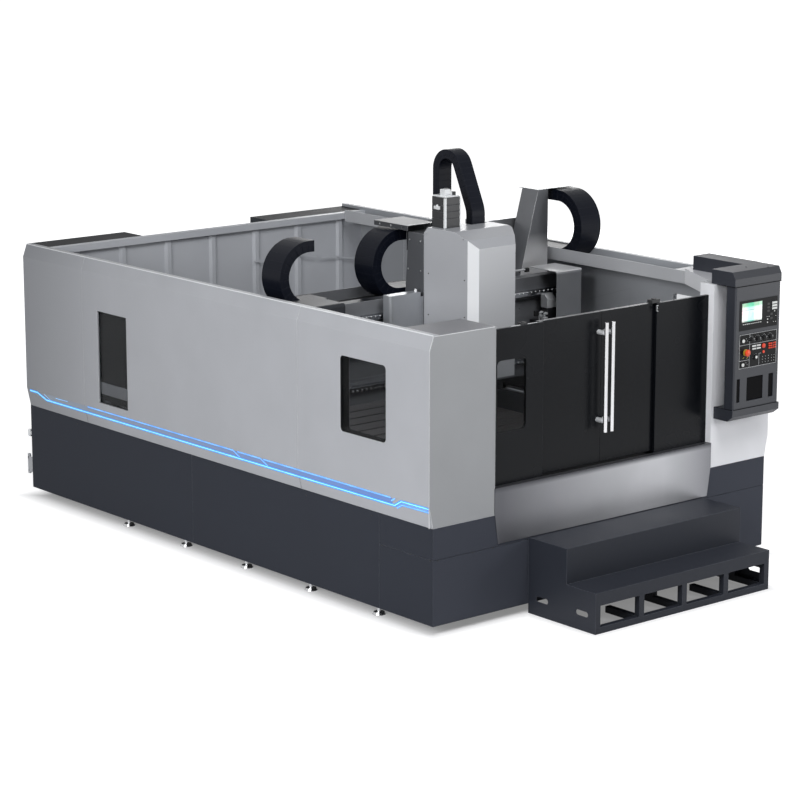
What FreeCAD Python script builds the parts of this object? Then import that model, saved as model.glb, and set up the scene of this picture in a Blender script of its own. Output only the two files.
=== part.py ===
import FreeCAD, Part
import math
import os

# A moving-gantry machining centre. Sizes are in mm and degrees: X across, Y along, Z up.
# The origin lies on the floor under the middle of the footprint, and the operator's side faces -Y.
# Places named *_y are distances behind the front face of the skirt, and *_x are distances from the middle.

# ---- base and enclosure
base_width = 3533.0
base_length = 5447.0
step_reach = 731.0
rear_reach = 80.0
ground_gap = 75.0
skirt_height = 745.0
sheet = 4.0
seam = 3.0
skirt_fold = 25.0
corner_cover_length = 617.0
corner_cover_height = 505.0
skirt_front_return = 940.0
skirt_joint_y = 3015.0

wall_bulge = 35.0
wall_flare = 165.0
wall_height = 1434.0
wall_bevel_height = 109.0
wall_bevel_inset = 40.0
wall_cap = 50.0
wall_joint_front_y = 1560.0
wall_joint_rear_y = 4530.0
right_rail_height = 1460.0
back_recess = 290.0
back_rib_pitch = 488.0
back_rib_width = 40.0
back_rib_depth = 22.0
back_channel_height = 60.0

# ---- windows
window_frame = 12.0
pane_thickness = 6.0
pane_overlap = 8.0
pane_setback = 14.0
front_window_y = 485.0
front_window_length = 560.0
front_window_base = 1365.0
front_window_height = 608.0
front_window_radius = 45.0
rear_window_y = 3860.0
rear_window_length = 455.0
rear_window_base = 1026.0
rear_window_height = 814.0
rear_window_radius = 6.0
right_window_y = 790.0
right_window_length = 277.0
right_window_base = 1450.0
right_window_height = 580.0

# ---- front
opening_left_x = -1164.0
opening_right_x = 1132.0
left_panel_height = 1430.0
left_panel_ledge = 400.0
right_panel_height = 1480.0
panel_return = 150.0
panel_slant_start = 99.0
cheek_depth = 300.0
apron_top = 1026.0
apron_shoulder = 840.0
apron_foot = 597.0
apron_taper = 37.0
apron_depth = 6.0
door_face_y = 57.0
door_base = 1030.0
door_height = 1180.0
door_depth = 24.0
door_gap = 4.0
door_meet_x = -9.5
fixed_left_width = 529.0
fixed_right_width = 574.0
slide_door_width = 647.0
door_window_x = -1102.0
door_window_width = 297.0
door_window_base = 1421.0
door_window_height = 551.0
door_window_radius = 40.0
handle_radius = 16.5
handle_base = 1289.0
handle_length = 854.0
handle_offset = 35.0
handle_reach = 91.0
handle_post_radius = 9.0
handle_post_inset = 85.0
wheel_radius = 30.0
wheel_thickness = 12.0
track_height = 30.0
track_width = 40.0
guide_height = 50.0

# ---- step
step_width = 1869.0
step_centre_x = 117.5
tread_height = 591.0
upper_tread_depth = 417.0
lower_tread_height = 315.0
step_tube = 50.0
step_slot_length = 130.0
step_slot_height = 42.0
step_slot_z = 132.0
step_slot_places = (153.0, 585.0)
step_post_count = 5
tread_plate = 6.0

# ---- feet
foot_count = 5
foot_first_y = 703.0
foot_pitch = 835.0
foot_inset = 68.0
foot_radius = 52.0
foot_height = 20.0
foot_stem_radius = 15.0
foot_nut_radius = 26.0
foot_nut_height = 16.0

# ---- bed and table
bed_base = 110.0
bed_slab = 190.0
bed_web = 45.0
bed_pocket_width = 560.0
bed_pocket_length = 620.0
column_inset = 485.5
column_width = 280.0
column_top = 1040.0
column_start_y = 330.0
column_length = 4760.0
column_foot = 40.0
column_groove_width = 120.0
column_groove_depth = 90.0
column_window_length = 420.0
column_window_height = 380.0
column_window_pitch = 900.0
column_window_count = 5
table_side_gap = 191.0
table_length = 4000.0
table_thickness = 160.0
table_top = 945.0
table_start_y = 670.0
pedestal_inset = 44.0
slot_pitch = 200.0
slot_width = 22.0
slot_depth = 46.0
slot_foot_width = 38.0
slot_foot_height = 18.0

# ---- rails and screws
rail_width = 45.0
rail_height = 50.0
rail_waist = 5.0
rail_flank_low = 0.35
rail_flank_high = 0.6
rail_offset = 95.0
rail_margin = 50.0
block_width = 90.0
block_length = 180.0
block_gap = 0.5
screw_radius = 25.0
journal_radius = 17.5
running_gap = 0.35
screw_height = 1040.0
bearing_length = 40.0
bearing_width = 90.0
screw_margin = 30.0
motor_length = 145.0
motor_radius = 14.0
nut_width = 84.0
nut_length = 120.0

# ---- gantry
gantry_y = 2025.0
beam_depth = 425.0
beam_ledge = 105.0
beam_bottom = 1270.0
beam_top = 2105.0
beam_shelf_drop = 56.0
beam_end_gap = 343.0
beam_recess = 25.0
beam_pocket_depth = 260.0
beam_pocket_height = 560.0
beam_pocket_count = 6
beam_web = 40.0
leg_width = 295.0
leg_front_reach = 195.0
leg_length = 820.0
leg_underside = 1120.0
leg_shoulder = 60.0
leg_gusset_top = 1750.0
leg_heel = 90.0
cover_reach = 225.0
cover_gap = 0.0
cover_top = 2165.0
cover_bottom = 1130.0
cover_length = 345.0
cover_radius = 28.0
lower_rail_z = 1408.0
upper_rail_z = 1970.0
cross_screw_z = 1690.0
cross_screw_radius = 20.0
cross_journal_radius = 14.0
cross_screw_drop = 25.0
cross_bearing_inset = 181.0
cross_motor_width = 120.0
cross_motor_length = 190.0
tray_sheet = 4.0
tray_back_height = 92.0
tray_end_gap = 3.0
bracket_chain_gap = 77.0
bracket_foot_width = 318.5
bracket_top_width = 113.0
bracket_wall_gap = 18.0
bracket_y = 2250.0
bracket_depth = 250.0
bracket_top = 2790.0
bracket_lip = 26.0
junction_offset = 508.0
junction_width = 461.0
junction_gap = 60.0
junction_depth = 232.0
junction_base = 2062.0
junction_top = 2525.0
junction_shelf = 12.0
junction_radius = 8.0
junction_brace = 180.0

# ---- saddle and head
saddle_left_x = -266.5
saddle_width = 510.0
saddle_thickness = 80.0
saddle_rail_gap = 20.0
saddle_bottom = 1290.0
saddle_top = 2615.0
saddle_back_reach = 147.0
saddle_top_reach = 110.0
saddle_lift = 15.0
side_box_width = 315.0
side_box_gap = 40.0
side_box_depth = 90.0
side_box_base = 1800.0
side_box_top = 2150.0
side_box_radius = 30.0
head_left_x = -262.5
head_width = 499.0
head_bulge = 87.0
head_bulge_slant = 130.0
head_depth = 604.0
head_nose = 74.0
head_chamfer = 57.0
head_bottom = 1500.0
head_top = 2675.0
head_sheet = 4.0
head_slope_depth = 170.0
head_slope_drop = 50.0
head_bevel_drop = 63.0
head_rear_drop = 45.0
shelf_z = 2675.0
shelf_left_x = -336.5
shelf_width = 300.0
shelf_y = 1991.0
shelf_depth = 426.0
shelf_lip = 40.0
z_motor_width = 165.0
z_motor_left_x = -206.5
z_motor_y = 1684.0
z_motor_height = 245.0
ram_width = 300.0
ram_depth = 290.0
ram_gap = 6.0
ram_rail_width = 35.0
ram_rail_depth = 28.0
ram_rail_offset = 95.0
motor_shelf = 20.0
saddle_notch = 120.0
ram_bottom = 1560.0
ram_top = 2440.0
spindle_length = 330.0
spindle_radius = 65.0
spindle_nose_radius = 95.0
spindle_nose = 60.0
z_screw_radius = 16.0
z_screw_bottom = 1840.0

# ---- cable chains
link_pitch = 62.0
clamp_length = 60.0
clamp_inset = 40.0
link_step = 3.0
chain_wall = 7.0
cross_chain_width = 240.0
cross_chain_inner = 195.0
cross_chain_outer = 285.0
cross_chain_y = 2150.0
cross_chain_x = -282.5
cross_chain_z = 2339.0
cross_lower_run = 716.0
cross_upper_run = 386.0
parked_chain_inset = 202.0
parked_lower_run = 195.0
parked_upper_run = 60.0
long_chain_width = 230.0
long_chain_inner = 205.0
long_chain_outer = 298.0
long_chain_wall_gap = 3.0
long_chain_y = 2215.0
long_chain_z = 2478.0
long_lower_run = 1385.0
long_upper_run = 275.0
head_chain_width = 140.0
head_chain_x = 188.5
head_chain_thickness = 75.0
head_chain_radius = 131.5
head_chain_lean = 24.7
head_chain_back_y = 2177.5
head_chain_front_y = 1763.0
head_chain_crest = 3250.0
head_chain_back_end = 2530.0
head_chain_front_end = 2475.0
head_chain_bend = 200.0
chain_guide_top = 2610.0
chain_guide_bottom = 2165.0
chain_guide_gap = 4.0
tie_thickness = 12.0
trough_width = 248.0
trough_depth = 106.0
trough_front_y = 680.0
trough_lid_length = 115.0
trough_divider_y = 1581.0

# ---- rear
cabinet_left_width = 975.0
cabinet_right_width = 1088.0
cabinet_door_gap = 6.0
pipe_radius = 22.0
pipe_height = 590.0
plate_drop = 330.0

# ---- light strip
strip_width = 14.0
strip_thin_width = 8.0
strip_proud = 2.5
strip_low_z = 910.0
strip_high_z = 965.0
strip_jog = 90.0
strip_front_jog_y = 400.0
strip_rear_jog_y = 5100.0

# ---- pendant
pendant_left_x = 1168.5
pendant_width = 515.0
pendant_front_y = -200.0
pendant_depth = 108.0
pendant_base = 1315.0
pendant_radius = 14.0
cap_overhang = 10.0
cap_height = 115.0
cap_depth = 254.0
cap_chamfer_depth = 30.0
cap_chamfer_height = 55.0
arm_left_x = 1513.5
arm_width = 185.0
arm_end_y = 600.0
chin_height = 95.0
chin_taper_height = 41.0
chin_taper_depth = 50.0
bezel_left_x = 1213.5
bezel_width = 435.0
bezel_base = 1945.0
bezel_height = 237.0
screen_x = 1241.5
screen_width = 227.0
screen_base = 2011.0
screen_height = 150.0
keys_x = 1581.5
keys_width = 59.0
keys_base = 2057.0
keys_rows = 3
key_gap = 5.0
controls_left_x = 1219.5
controls_width = 429.0
controls_base = 1640.0
controls_height = 273.0
plate_seat = 6.0
plate_proud = 2.0
knob_x = 1353.5
knob_pitch = 72.0
knob_z = 1866.0
knob_radius = 18.0
knob_length = 22.0
knob_count = 4
control_stem_radius = 6.0
control_stem_length = 16.0
button_x = 1259.5
start_button_z = 1863.0
stop_button_z = 1671.0
button_radius = 14.0
button_length = 9.0
button_travel = 4.0
estop_x = 1291.5
estop_z = 1767.0
estop_radius = 28.0
estop_length = 30.0
estop_travel = 6.0
collar_width = 6.0
collar_height = 4.0
lamp_width = 30.0
lamp_height = 18.0
lamp_x = 1401.5
lamp_z = 1799.0
lamp_pitch = 93.0
block_lamp_x = 1594.5
block_lamp_size = 34.0
dial_x = 1405.5
dial_z = 1718.0
dial_radius = 21.0
grille_base = 1372.0
grille_height = 190.0
grille_starts = (1202.5, 1317.5, 1568.5)
grille_widths = (38.0, 187.0, 56.0)

# ---- places that follow from the sizes above
front = -(base_length + rear_reach - step_reach) / 2
back = front + base_length
left = -base_width / 2
right = base_width / 2
skirt_top = ground_gap + skirt_height
wall_top = skirt_top + wall_height
rail_top = skirt_top + right_rail_height
left_inner_x = left - wall_bulge + wall_bevel_inset + wall_cap
wall_inner_x = right + wall_bulge - wall_cap
back_wall_y = back - back_recess
column_x = right - column_inset
table_width = 2 * (column_x - column_width / 2 - table_side_gap)
beam_half_length = right - beam_end_gap
cross_bearing_x = column_x - cross_bearing_inset
long_chain_x = wall_inner_x - long_chain_wall_gap - long_chain_width
bracket_right_x = long_chain_x - bracket_chain_gap
bracket_top_x = bracket_right_x - bracket_top_width
bracket_foot_x = bracket_right_x - bracket_foot_width
bracket_arm_x = wall_inner_x - bracket_wall_gap
junction_left_x = bracket_right_x - junction_offset
tray_right_x = bracket_foot_x - tray_end_gap
V = FreeCAD.Vector
X_AXIS = V(1, 0, 0)
Y_AXIS = V(0, 1, 0)
Z_AXIS = V(0, 0, 1)


# ---- small tools
def box(x, y, z):
    """A block between a pair of limits along each axis."""
    return Part.makeBox(x[1] - x[0], y[1] - y[0], z[1] - z[0], V(x[0], y[0], z[0]))


def span(start, length):
    return (start, start + length)


def plate(points):
    return Part.Face(Part.makePolygon(points + points[:1]))


def along_x(outline, x):
    """Extrude an outline of (y, z) points between two x limits."""
    return plate([V(x[0], y, z) for y, z in outline]).extrude(V(x[1] - x[0], 0, 0))


def along_y(outline, y):
    """Extrude an outline of (x, z) points between two y limits."""
    return plate([V(x, y[0], z) for x, z in outline]).extrude(V(0, y[1] - y[0], 0))


def along_z(outline, z):
    """Extrude an outline of (x, y) points between two z limits."""
    return plate([V(x, y, z[0]) for x, y in outline]).extrude(V(0, 0, z[1] - z[0]))


def rod(centre, axis, length, radius):
    return Part.makeCylinder(radius, length, centre, axis)


def fuse(first, *others):
    return first.multiFuse(list(others)).removeSplitter()


def group(*shapes):
    return Part.makeCompound(list(shapes))


def mirrored(shape):
    return shape.mirror(V(0, 0, 0), X_AXIS)


def rounded(block, radius, axis):
    """Round the edges of a block that run along an axis."""
    edges = [e for e in block.Edges if abs(e.tangentAt(e.FirstParameter).dot(axis)) > 0.99]
    return block.makeFillet(radius, edges)


def rounded_box(x, y, z, radius, axis):
    return rounded(box(x, y, z), radius, axis)


def unit(a, b):
    length = math.dist(a, b)
    return ((b[0] - a[0]) / length, (b[1] - a[1]) / length)


def folded(path, thickness):
    """Outline of folded sheet: the path is one skin and the other lies to its right, mitred at the folds."""
    far = []
    for i, point in enumerate(path):
        before = unit(path[max(i - 1, 0)], path[max(i, 1)])
        after = unit(path[min(i, len(path) - 2)], path[min(i + 1, len(path) - 1)])
        normal = (before[1] + after[1], -before[0] - after[0])
        scale = thickness / (1 + before[0] * after[0] + before[1] * after[1])
        far.append((point[0] + normal[0] * scale, point[1] + normal[1] * scale))
    return path + far[::-1]


def tray(x, y, z, depth_axis, open_side):
    """A sheet panel with its four edges folded back; open_side is +1 or -1 along the depth axis."""
    outer = box(x, y, z)
    limits = [list(x), list(y), list(z)]
    for axis, pair in enumerate(limits):
        if axis == depth_axis:
            pair[0] += sheet if open_side > 0 else -sheet
            pair[1] += sheet if open_side > 0 else -sheet
        else:
            pair[0] += sheet
            pair[1] -= sheet
    return outer.cut(box(*limits))


def rail(centre, length_axis, up, length):
    """A guide rail with waisted flanks. It stands on the centre of its seat and points up along a vector."""
    side = length_axis.cross(up)
    half = rail_width / 2
    waist = half - rail_waist
    low = rail_height * rail_flank_low
    mid = rail_height * rail_flank_high
    outline = [(-half, 0), (half, 0), (half, low), (waist, mid), (half, rail_height - rail_waist),
               (half - rail_waist, rail_height), (rail_waist - half, rail_height), (-half, rail_height - rail_waist),
               (-waist, mid), (-half, low)]
    points = [centre + side * a + up * b for a, b in outline]
    return plate(points).extrude(length_axis * length)


def rail_block(x, y, z, rail_axis, up, seat):
    """A guide block cut out to ride over a rail whose seat lies at a height along the up vector."""
    block = box(x, y, z)
    middle = block.BoundBox.Center
    origin = middle + up * (seat - middle.dot(up))
    side = rail_axis.cross(up)
    half = rail_width / 2 + block_gap
    tall = rail_height + block_gap
    length = block.BoundBox.DiagonalLength
    corners = [origin - rail_axis * length + side * a + up * b
               for a, b in [(-half, -tall), (half, -tall), (half, tall), (-half, tall)]]
    return block.cut(plate(corners).extrude(rail_axis * (2 * length)))


# ---- base
def make_bed():
    y = (front + skirt_fold, back - skirt_fold)
    half = right - skirt_fold
    slab_top = bed_base + bed_slab
    bed = box((-half, half), y, (bed_base, slab_top))
    column_y = span(front + column_start_y, column_length)
    inner = column_groove_width / 2
    outer = column_width / 2
    foot = outer + column_foot
    floor = column_top - column_groove_depth
    profile = [(-foot, slab_top), (foot, slab_top), (outer, slab_top + 3 * column_foot), (outer, column_top),
               (inner, column_top), (inner, floor), (-inner, floor), (-inner, column_top), (-outer, column_top),
               (-outer, slab_top + 3 * column_foot)]
    column = along_y([(column_x + x, z) for x, z in profile], column_y)
    window_gap = column_window_pitch - column_window_length
    first = (column_length - column_window_count * column_window_pitch + window_gap) / 2
    window_z = (slab_top + floor - column_window_height) / 2 + column_foot
    for i in range(column_window_count):
        start = column_y[0] + first + i * column_window_pitch
        column = column.cut(rounded_box((column_x - foot, column_x + foot), span(start, column_window_length),
                                        span(window_z, column_window_height), column_foot, X_AXIS))
    table_half = table_width / 2 - pedestal_inset
    under = table_top - table_thickness
    splay = table_half + column_foot
    pedestal = along_y([(-splay, slab_top), (splay, slab_top), (table_half, slab_top + 2 * column_foot),
                        (table_half, under), (-table_half, under), (-table_half, slab_top + 2 * column_foot)],
                       (front + table_start_y + pedestal_inset,
                        front + table_start_y + table_length - pedestal_inset))
    pockets = group(*bed_pockets(table_half, under))
    return group(bed.cut(pockets), column, mirrored(column), pedestal.cut(pockets))


def bed_pockets(half, under):
    """Cast pockets under the pedestal, open below, with webs between them."""
    across_count = int(2 * half / bed_pocket_width)
    along_count = int(table_length / bed_pocket_length)
    pitch_x = (2 * half - bed_web) / across_count
    pitch_y = (table_length - 2 * pedestal_inset - bed_web) / along_count
    start_y = front + table_start_y + pedestal_inset + bed_web
    pockets = []
    for i in range(across_count):
        for j in range(along_count):
            pockets.append(box(span(bed_web - half + i * pitch_x, pitch_x - bed_web),
                               span(start_y + j * pitch_y, pitch_y - bed_web),
                               (bed_base - 1, under - 2 * bed_web)))
    return pockets


def make_work_table():
    y0 = front + table_start_y
    half = table_width / 2
    table = box((-half, half), span(y0, table_length), (table_top - table_thickness, table_top))
    count = int(table_length / slot_pitch)
    first = y0 + (table_length - (count - 1) * slot_pitch) / 2
    mouth = slot_width / 2
    foot = slot_foot_width / 2
    floor = table_top - slot_depth
    step = floor + slot_foot_height
    slots = []
    for i in range(count):
        y = first + i * slot_pitch
        outline = [(y - foot, floor), (y + foot, floor), (y + foot, step), (y + mouth, step), (y + mouth, table_top),
                   (y - mouth, table_top), (y - mouth, step), (y - foot, step)]
        slots.append(along_x(outline, (-half, half)))
    return table.cut(group(*slots))


def make_levelling_feet():
    feet = []
    for i in range(foot_count):
        y = front + foot_first_y + i * foot_pitch
        for x in (left + foot_inset, right - foot_inset):
            disc = Part.makeCone(foot_radius, foot_radius * 0.8, foot_height, V(x, y, 0))
            stem = rod(V(x, y, 0), Z_AXIS, bed_base, foot_stem_radius)
            nut = rod(V(x, y, bed_base - foot_nut_height), Z_AXIS, foot_nut_height, foot_nut_radius)
            feet.append(fuse(disc, stem, nut))
    return group(*feet)


def rail_line():
    """Limits along Y of the long rails."""
    return (front + column_start_y + rail_margin, front + column_start_y + column_length - rail_margin)


def make_gantry_rails():
    start, end = rail_line()
    rails = []
    for centre in (-column_x, column_x):
        for x in (centre - rail_offset, centre + rail_offset):
            rails.append(rail(V(x, start, column_top), Y_AXIS, Z_AXIS, end - start))
    return group(*rails)


def screw_line():
    """Limits along Y of the long ball screws, from bearing to bearing."""
    start = front + column_start_y + screw_margin
    end = front + column_start_y + column_length - screw_margin - motor_length / 2
    return (start, end)


def make_long_screw(x):
    start, end = screw_line()
    thread = rod(V(x, start + bearing_length + 1, screw_height), Y_AXIS, end - start - 2 * bearing_length - 2,
                 screw_radius)
    journal = rod(V(x, start + 1, screw_height), Y_AXIS, end - start - 2, journal_radius)
    return fuse(thread, journal)


def make_gantry_drives():
    start, end = screw_line()
    half = bearing_width / 2
    floor = column_top - column_groove_depth
    drives = []
    for x in (-column_x, column_x):
        hole = rod(V(x, start - 1, screw_height), Y_AXIS, end - start + 1, journal_radius + running_gap)
        for y in (start, end - bearing_length):
            block = box((x - half, x + half), span(y, bearing_length), (floor, screw_height + half))
            drives.append(block.cut(hole))
        motor_z = (screw_height - half, screw_height + half)
        motor = rounded_box((x - half, x + half), span(end, motor_length), motor_z, motor_radius, Y_AXIS)
        drives.append(motor)
    return group(*drives)


# ---- skirt
def corner_cover(z):
    """Two sheets that meet at a front corner: one runs back along the side, the other in along the front."""
    side = [(left + skirt_fold, front + corner_cover_length), (left, front + corner_cover_length), (left, front)]
    face = [(left + sheet, front), (left + skirt_front_return, front),
            (left + skirt_front_return, front + skirt_fold)]
    return [along_z(folded(path, -sheet), z) for path in (side, face)]


def make_skirt_panels():
    side = skirt_side()
    return group(*skirt_front(), *side, *[mirrored(panel) for panel in side], *skirt_rear())


def skirt_front():
    joint = ground_gap + corner_cover_height
    corner = corner_cover((ground_gap, joint - seam)) + corner_cover((joint, skirt_top))
    inner = left + skirt_front_return + seam
    middle = tray((inner, -inner), span(front, skirt_fold), (ground_gap, skirt_top), 1, 1)
    return corner + [mirrored(cover) for cover in corner] + [middle]


def skirt_side():
    start = front + corner_cover_length + seam
    joint = front + skirt_joint_y
    x = (left, left + skirt_fold)
    z = (ground_gap, skirt_top)
    return [tray(x, (start, joint), z, 0, 1), tray(x, (joint + seam, back), z, 0, 1)]


def skirt_rear():
    inner = left + skirt_fold + seam
    z = (ground_gap, skirt_top)
    y = (back - skirt_fold, back)
    return [tray((inner, -seam / 2), y, z, 1, -1), tray((seam / 2, -inner), y, z, 1, -1)]


# ---- walls
def left_wall_path():
    """Outer skin of the left wall from its foot over the top and down inside."""
    face = left - wall_bulge
    cap = face + wall_bevel_inset
    return [(left, skirt_top), (face, skirt_top + wall_flare), (face, wall_top - wall_bevel_height),
            (cap, wall_top), (cap + wall_cap, wall_top), (cap + wall_cap, skirt_top)]


def window_hole(x, y, z, radius):
    return rounded_box(x, y, z, radius, X_AXIS)


def window_lining(x, y, z, radius):
    """A sleeve between the two skins of a wall, with a lip for the pane."""
    outer = rounded_box(x, y, z, radius, X_AXIS)
    bore = rounded_box((x[0] - 1, x[1] + 1), (y[0] + window_frame, y[1] - window_frame),
                       (z[0] + window_frame, z[1] - window_frame), max(radius - window_frame, 2), X_AXIS)
    return outer.cut(bore)


def make_wall_left():
    outline = folded(left_wall_path(), sheet)
    joints = [front + sheet + seam, front + wall_joint_front_y, front + wall_joint_rear_y, back]
    panels = [along_y(outline, (a, b - seam)) for a, b in zip(joints, joints[1:])]
    face = left - wall_bulge
    depth = (face, face + wall_bevel_inset + wall_cap)
    windows = ((front_window_y, front_window_length, front_window_base, front_window_height, front_window_radius),
               (rear_window_y, rear_window_length, rear_window_base, rear_window_height, rear_window_radius))
    for index, (y, length, base, height, radius) in zip((0, 1), windows):
        y_pair = span(front + y, length)
        z_pair = span(base, height)
        hole = window_hole((depth[0] - sheet, depth[1] + sheet), y_pair, z_pair, radius)
        panels[index] = fuse(panels[index].cut(hole), window_lining(depth, y_pair, z_pair, radius))
    return group(*panels)


def make_wall_right():
    face = right + wall_bulge
    path = [(wall_inner_x, skirt_top), (wall_inner_x, rail_top), (face, rail_top), (face, skirt_top + wall_flare),
            (right, skirt_top)]
    outline = folded(path, sheet)
    start = front + sheet + seam
    joint = front + wall_joint_rear_y
    panels = [along_y(outline, (start, joint - seam)), along_y(outline, (joint, back))]
    y_pair = span(front + right_window_y, right_window_length)
    z_pair = span(right_window_base, right_window_height)
    hole = window_hole((wall_inner_x - sheet, face + sheet), y_pair, z_pair, front_window_radius)
    lining = window_lining((wall_inner_x, face), y_pair, z_pair, front_window_radius)
    panels[0] = fuse(panels[0].cut(hole), lining)
    return group(*panels)


def pane(x, y, z, radius):
    edge = window_frame
    return rounded_box(span(x, pane_thickness), (y[0] + edge, y[1] - edge), (z[0] + edge, z[1] - edge),
                       max(radius - edge, 2), X_AXIS)


def door_window_block(margin, y):
    """The outline of the door's window, grown by a margin, between two y limits."""
    return rounded_box((door_window_x - margin, door_window_x + door_window_width + margin), y,
                       (door_window_base - margin, door_window_base + door_window_height + margin),
                       door_window_radius + margin, Y_AXIS)


def make_window_panes():
    wall_x = left - wall_bulge + pane_setback
    front_pane = pane(wall_x, span(front + front_window_y, front_window_length),
                      span(front_window_base, front_window_height), front_window_radius)
    rear_pane = pane(wall_x, span(front + rear_window_y, rear_window_length),
                     span(rear_window_base, rear_window_height), rear_window_radius)
    right_pane = pane(wall_inner_x + pane_setback, span(front + right_window_y, right_window_length),
                      span(right_window_base, right_window_height), front_window_radius)
    door_pane = door_window_block(pane_overlap, span(front + door_face_y + sheet, pane_thickness))
    return group(front_pane, rear_pane, right_pane, door_pane)


def make_panel_front_left():
    top = skirt_top + left_panel_height
    face = left - wall_bulge
    skin = along_y([(left, skirt_top), (face, skirt_top + wall_flare), (face, top - wall_bevel_height),
                    (face + wall_bevel_inset, top), (opening_left_x, top), (opening_left_x, skirt_top)],
                   span(front, sheet))
    ledge_x = (left_inner_x + seam, opening_left_x)
    ledge_path = [(front + sheet, top), (front + left_panel_ledge, top),
                  (front + left_panel_ledge, top - skirt_fold)]
    ledge = along_x(folded(ledge_path, sheet), ledge_x)
    cheek = box((opening_left_x - sheet, opening_left_x), (front + sheet, front + cheek_depth),
                (skirt_top, top))
    return fuse(skin, ledge, cheek)


def right_panel_plan():
    """Outline of the right column's top, with the slanted edge that meets the chain trough."""
    face = right + wall_bulge
    start = wall_inner_x - trough_width
    return [(opening_right_x, front), (face, front), (face, front + trough_front_y),
            (start, front + trough_front_y), (opening_right_x + panel_slant_start, front + panel_return),
            (opening_right_x, front + panel_return)]


def make_panel_front_right():
    top = skirt_top + right_panel_height
    face = right + wall_bulge
    skin = along_y([(opening_right_x, skirt_top), (opening_right_x, top), (face, top),
                    (face, skirt_top + wall_flare), (right, skirt_top)], span(front, sheet))
    plan = right_panel_plan()
    lid = along_z(plan, (rail_top, top))
    slant = along_z(folded(plan[3:], -sheet), (rail_top - trough_depth, rail_top))
    cheek = box(span(opening_right_x, sheet), (front + sheet, front + panel_return), (skirt_top, rail_top))
    return fuse(skin, lid, slant, cheek)


def make_light_strip():
    face = left - wall_bulge
    low = (left, skirt_top)
    high = (face, skirt_top + wall_flare)
    skin = along_y(folded([low, high], -strip_proud), (front, back))
    start = front + sheet + seam
    end = back - seam
    jog_front = front + strip_front_jog_y
    jog_rear = front + strip_rear_jog_y

    def band(path, width):
        near = folded(path, width / 2)[len(path):]
        far = folded(path, -width / 2)[len(path):]
        return along_x(near[::-1] + far, (face - 2 * strip_proud, left))

    main = [(start, strip_high_z), (jog_front, strip_high_z), (jog_front + strip_jog, strip_low_z),
            (jog_rear, strip_low_z), (jog_rear + strip_jog, strip_high_z), (end, strip_high_z)]
    upper = [(jog_front + 2 * strip_jog, strip_high_z), (jog_rear - strip_jog, strip_high_z)]
    return group(band(main, strip_width).common(skin), band(upper, strip_thin_width).common(skin))


def make_wall_back():
    x_pair = (left_inner_x, wall_inner_x)
    y = back_wall_y
    top = wall_top
    channel = [(y - back_channel_height, top - back_channel_height), (y - back_channel_height, top), (y + sheet, top),
               (y + sheet, skirt_top)]
    shell = along_x(folded(channel, sheet), x_pair)
    ribs = []
    count = int((x_pair[1] - x_pair[0] - 2 * back_rib_width) / back_rib_pitch)
    first = (x_pair[0] + x_pair[1] - count * back_rib_pitch) / 2
    for i in range(count + 1):
        x = first + i * back_rib_pitch
        outline = [(x - back_rib_width, y + 1), (x - back_rib_width / 2, y - back_rib_depth),
                   (x + back_rib_width / 2, y - back_rib_depth), (x + back_rib_width, y + 1)]
        ribs.append(along_z(outline, (skirt_top, top - sheet - 1)))
    return fuse(shell, *ribs)


def make_rear_cabinets():
    y = (back_wall_y + sheet + seam, back)
    z = (skirt_top, wall_top)
    cabinets = []
    for x in (span(left_inner_x, cabinet_left_width), (wall_inner_x - cabinet_right_width, wall_inner_x)):
        body = box(x, y, z)
        middle = (x[0] + x[1]) / 2
        for door_x in ((x[0] + 5 * sheet, middle - cabinet_door_gap / 2),
                       (middle + cabinet_door_gap / 2, x[1] - 5 * sheet)):
            door_z = (z[0] + 5 * sheet, z[1] - 5 * sheet)
            frame = box(door_x, (y[1] - sheet, y[1] + 1), door_z)
            leaf = box((door_x[0] + seam, door_x[1] - seam), (y[1] - sheet, y[1]),
                       (door_z[0] + seam, door_z[1] - seam))
            body = body.cut(frame.cut(leaf))
        cabinets.append(body)
    return group(*cabinets)


# ---- doors
def make_apron():
    x = (opening_left_x - sheet, opening_right_x + sheet)
    outline = [(x[0], apron_top), (x[0], apron_shoulder), (x[0] + apron_taper, apron_foot),
               (x[1] - apron_taper, apron_foot), (x[1], apron_shoulder), (x[1], apron_top)]
    y0 = front - apron_depth
    skin = along_y(outline, (y0, front))
    sill_path = [(front + door_face_y - 1, apron_top), (front - 1, apron_top)]
    sill = along_x(folded(sill_path, -sheet), (opening_left_x, opening_right_x))
    return fuse(skin, sill)


def make_door_tracks():
    rail_y = front + door_face_y + door_depth + 3 * door_gap + door_depth
    x = (opening_left_x, opening_right_x)
    top = door_base
    low = [(rail_y + track_width, top - track_height), (rail_y, top - track_height), (rail_y, top)]
    rib = along_x(folded(low, sheet), x)
    base = box(x, (front + sheet, rail_y), span(top - track_height, sheet))
    guide_z = door_base + door_height - guide_height
    guide = box(x, span(rail_y + wheel_thickness, sheet * 2), span(guide_z, guide_height / 2))
    return group(fuse(rib, base), guide)


def make_door_fixed():
    y = span(front + door_face_y, door_depth)
    z = span(door_base - door_gap, door_height + door_gap)
    left_leaf = tray(span(opening_left_x, fixed_left_width), y, z, 1, 1)
    ring_y = span(y[0] + sheet, pane_thickness)
    ring = door_window_block(pane_overlap + window_frame, ring_y).cut(door_window_block(pane_overlap, ring_y))
    left_leaf = fuse(left_leaf.cut(door_window_block(0, (y[0] - 1, y[1]))), ring)
    right_leaf = tray((opening_right_x - fixed_right_width, opening_right_x), y, z, 1, 1)
    return group(left_leaf, right_leaf)


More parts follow.
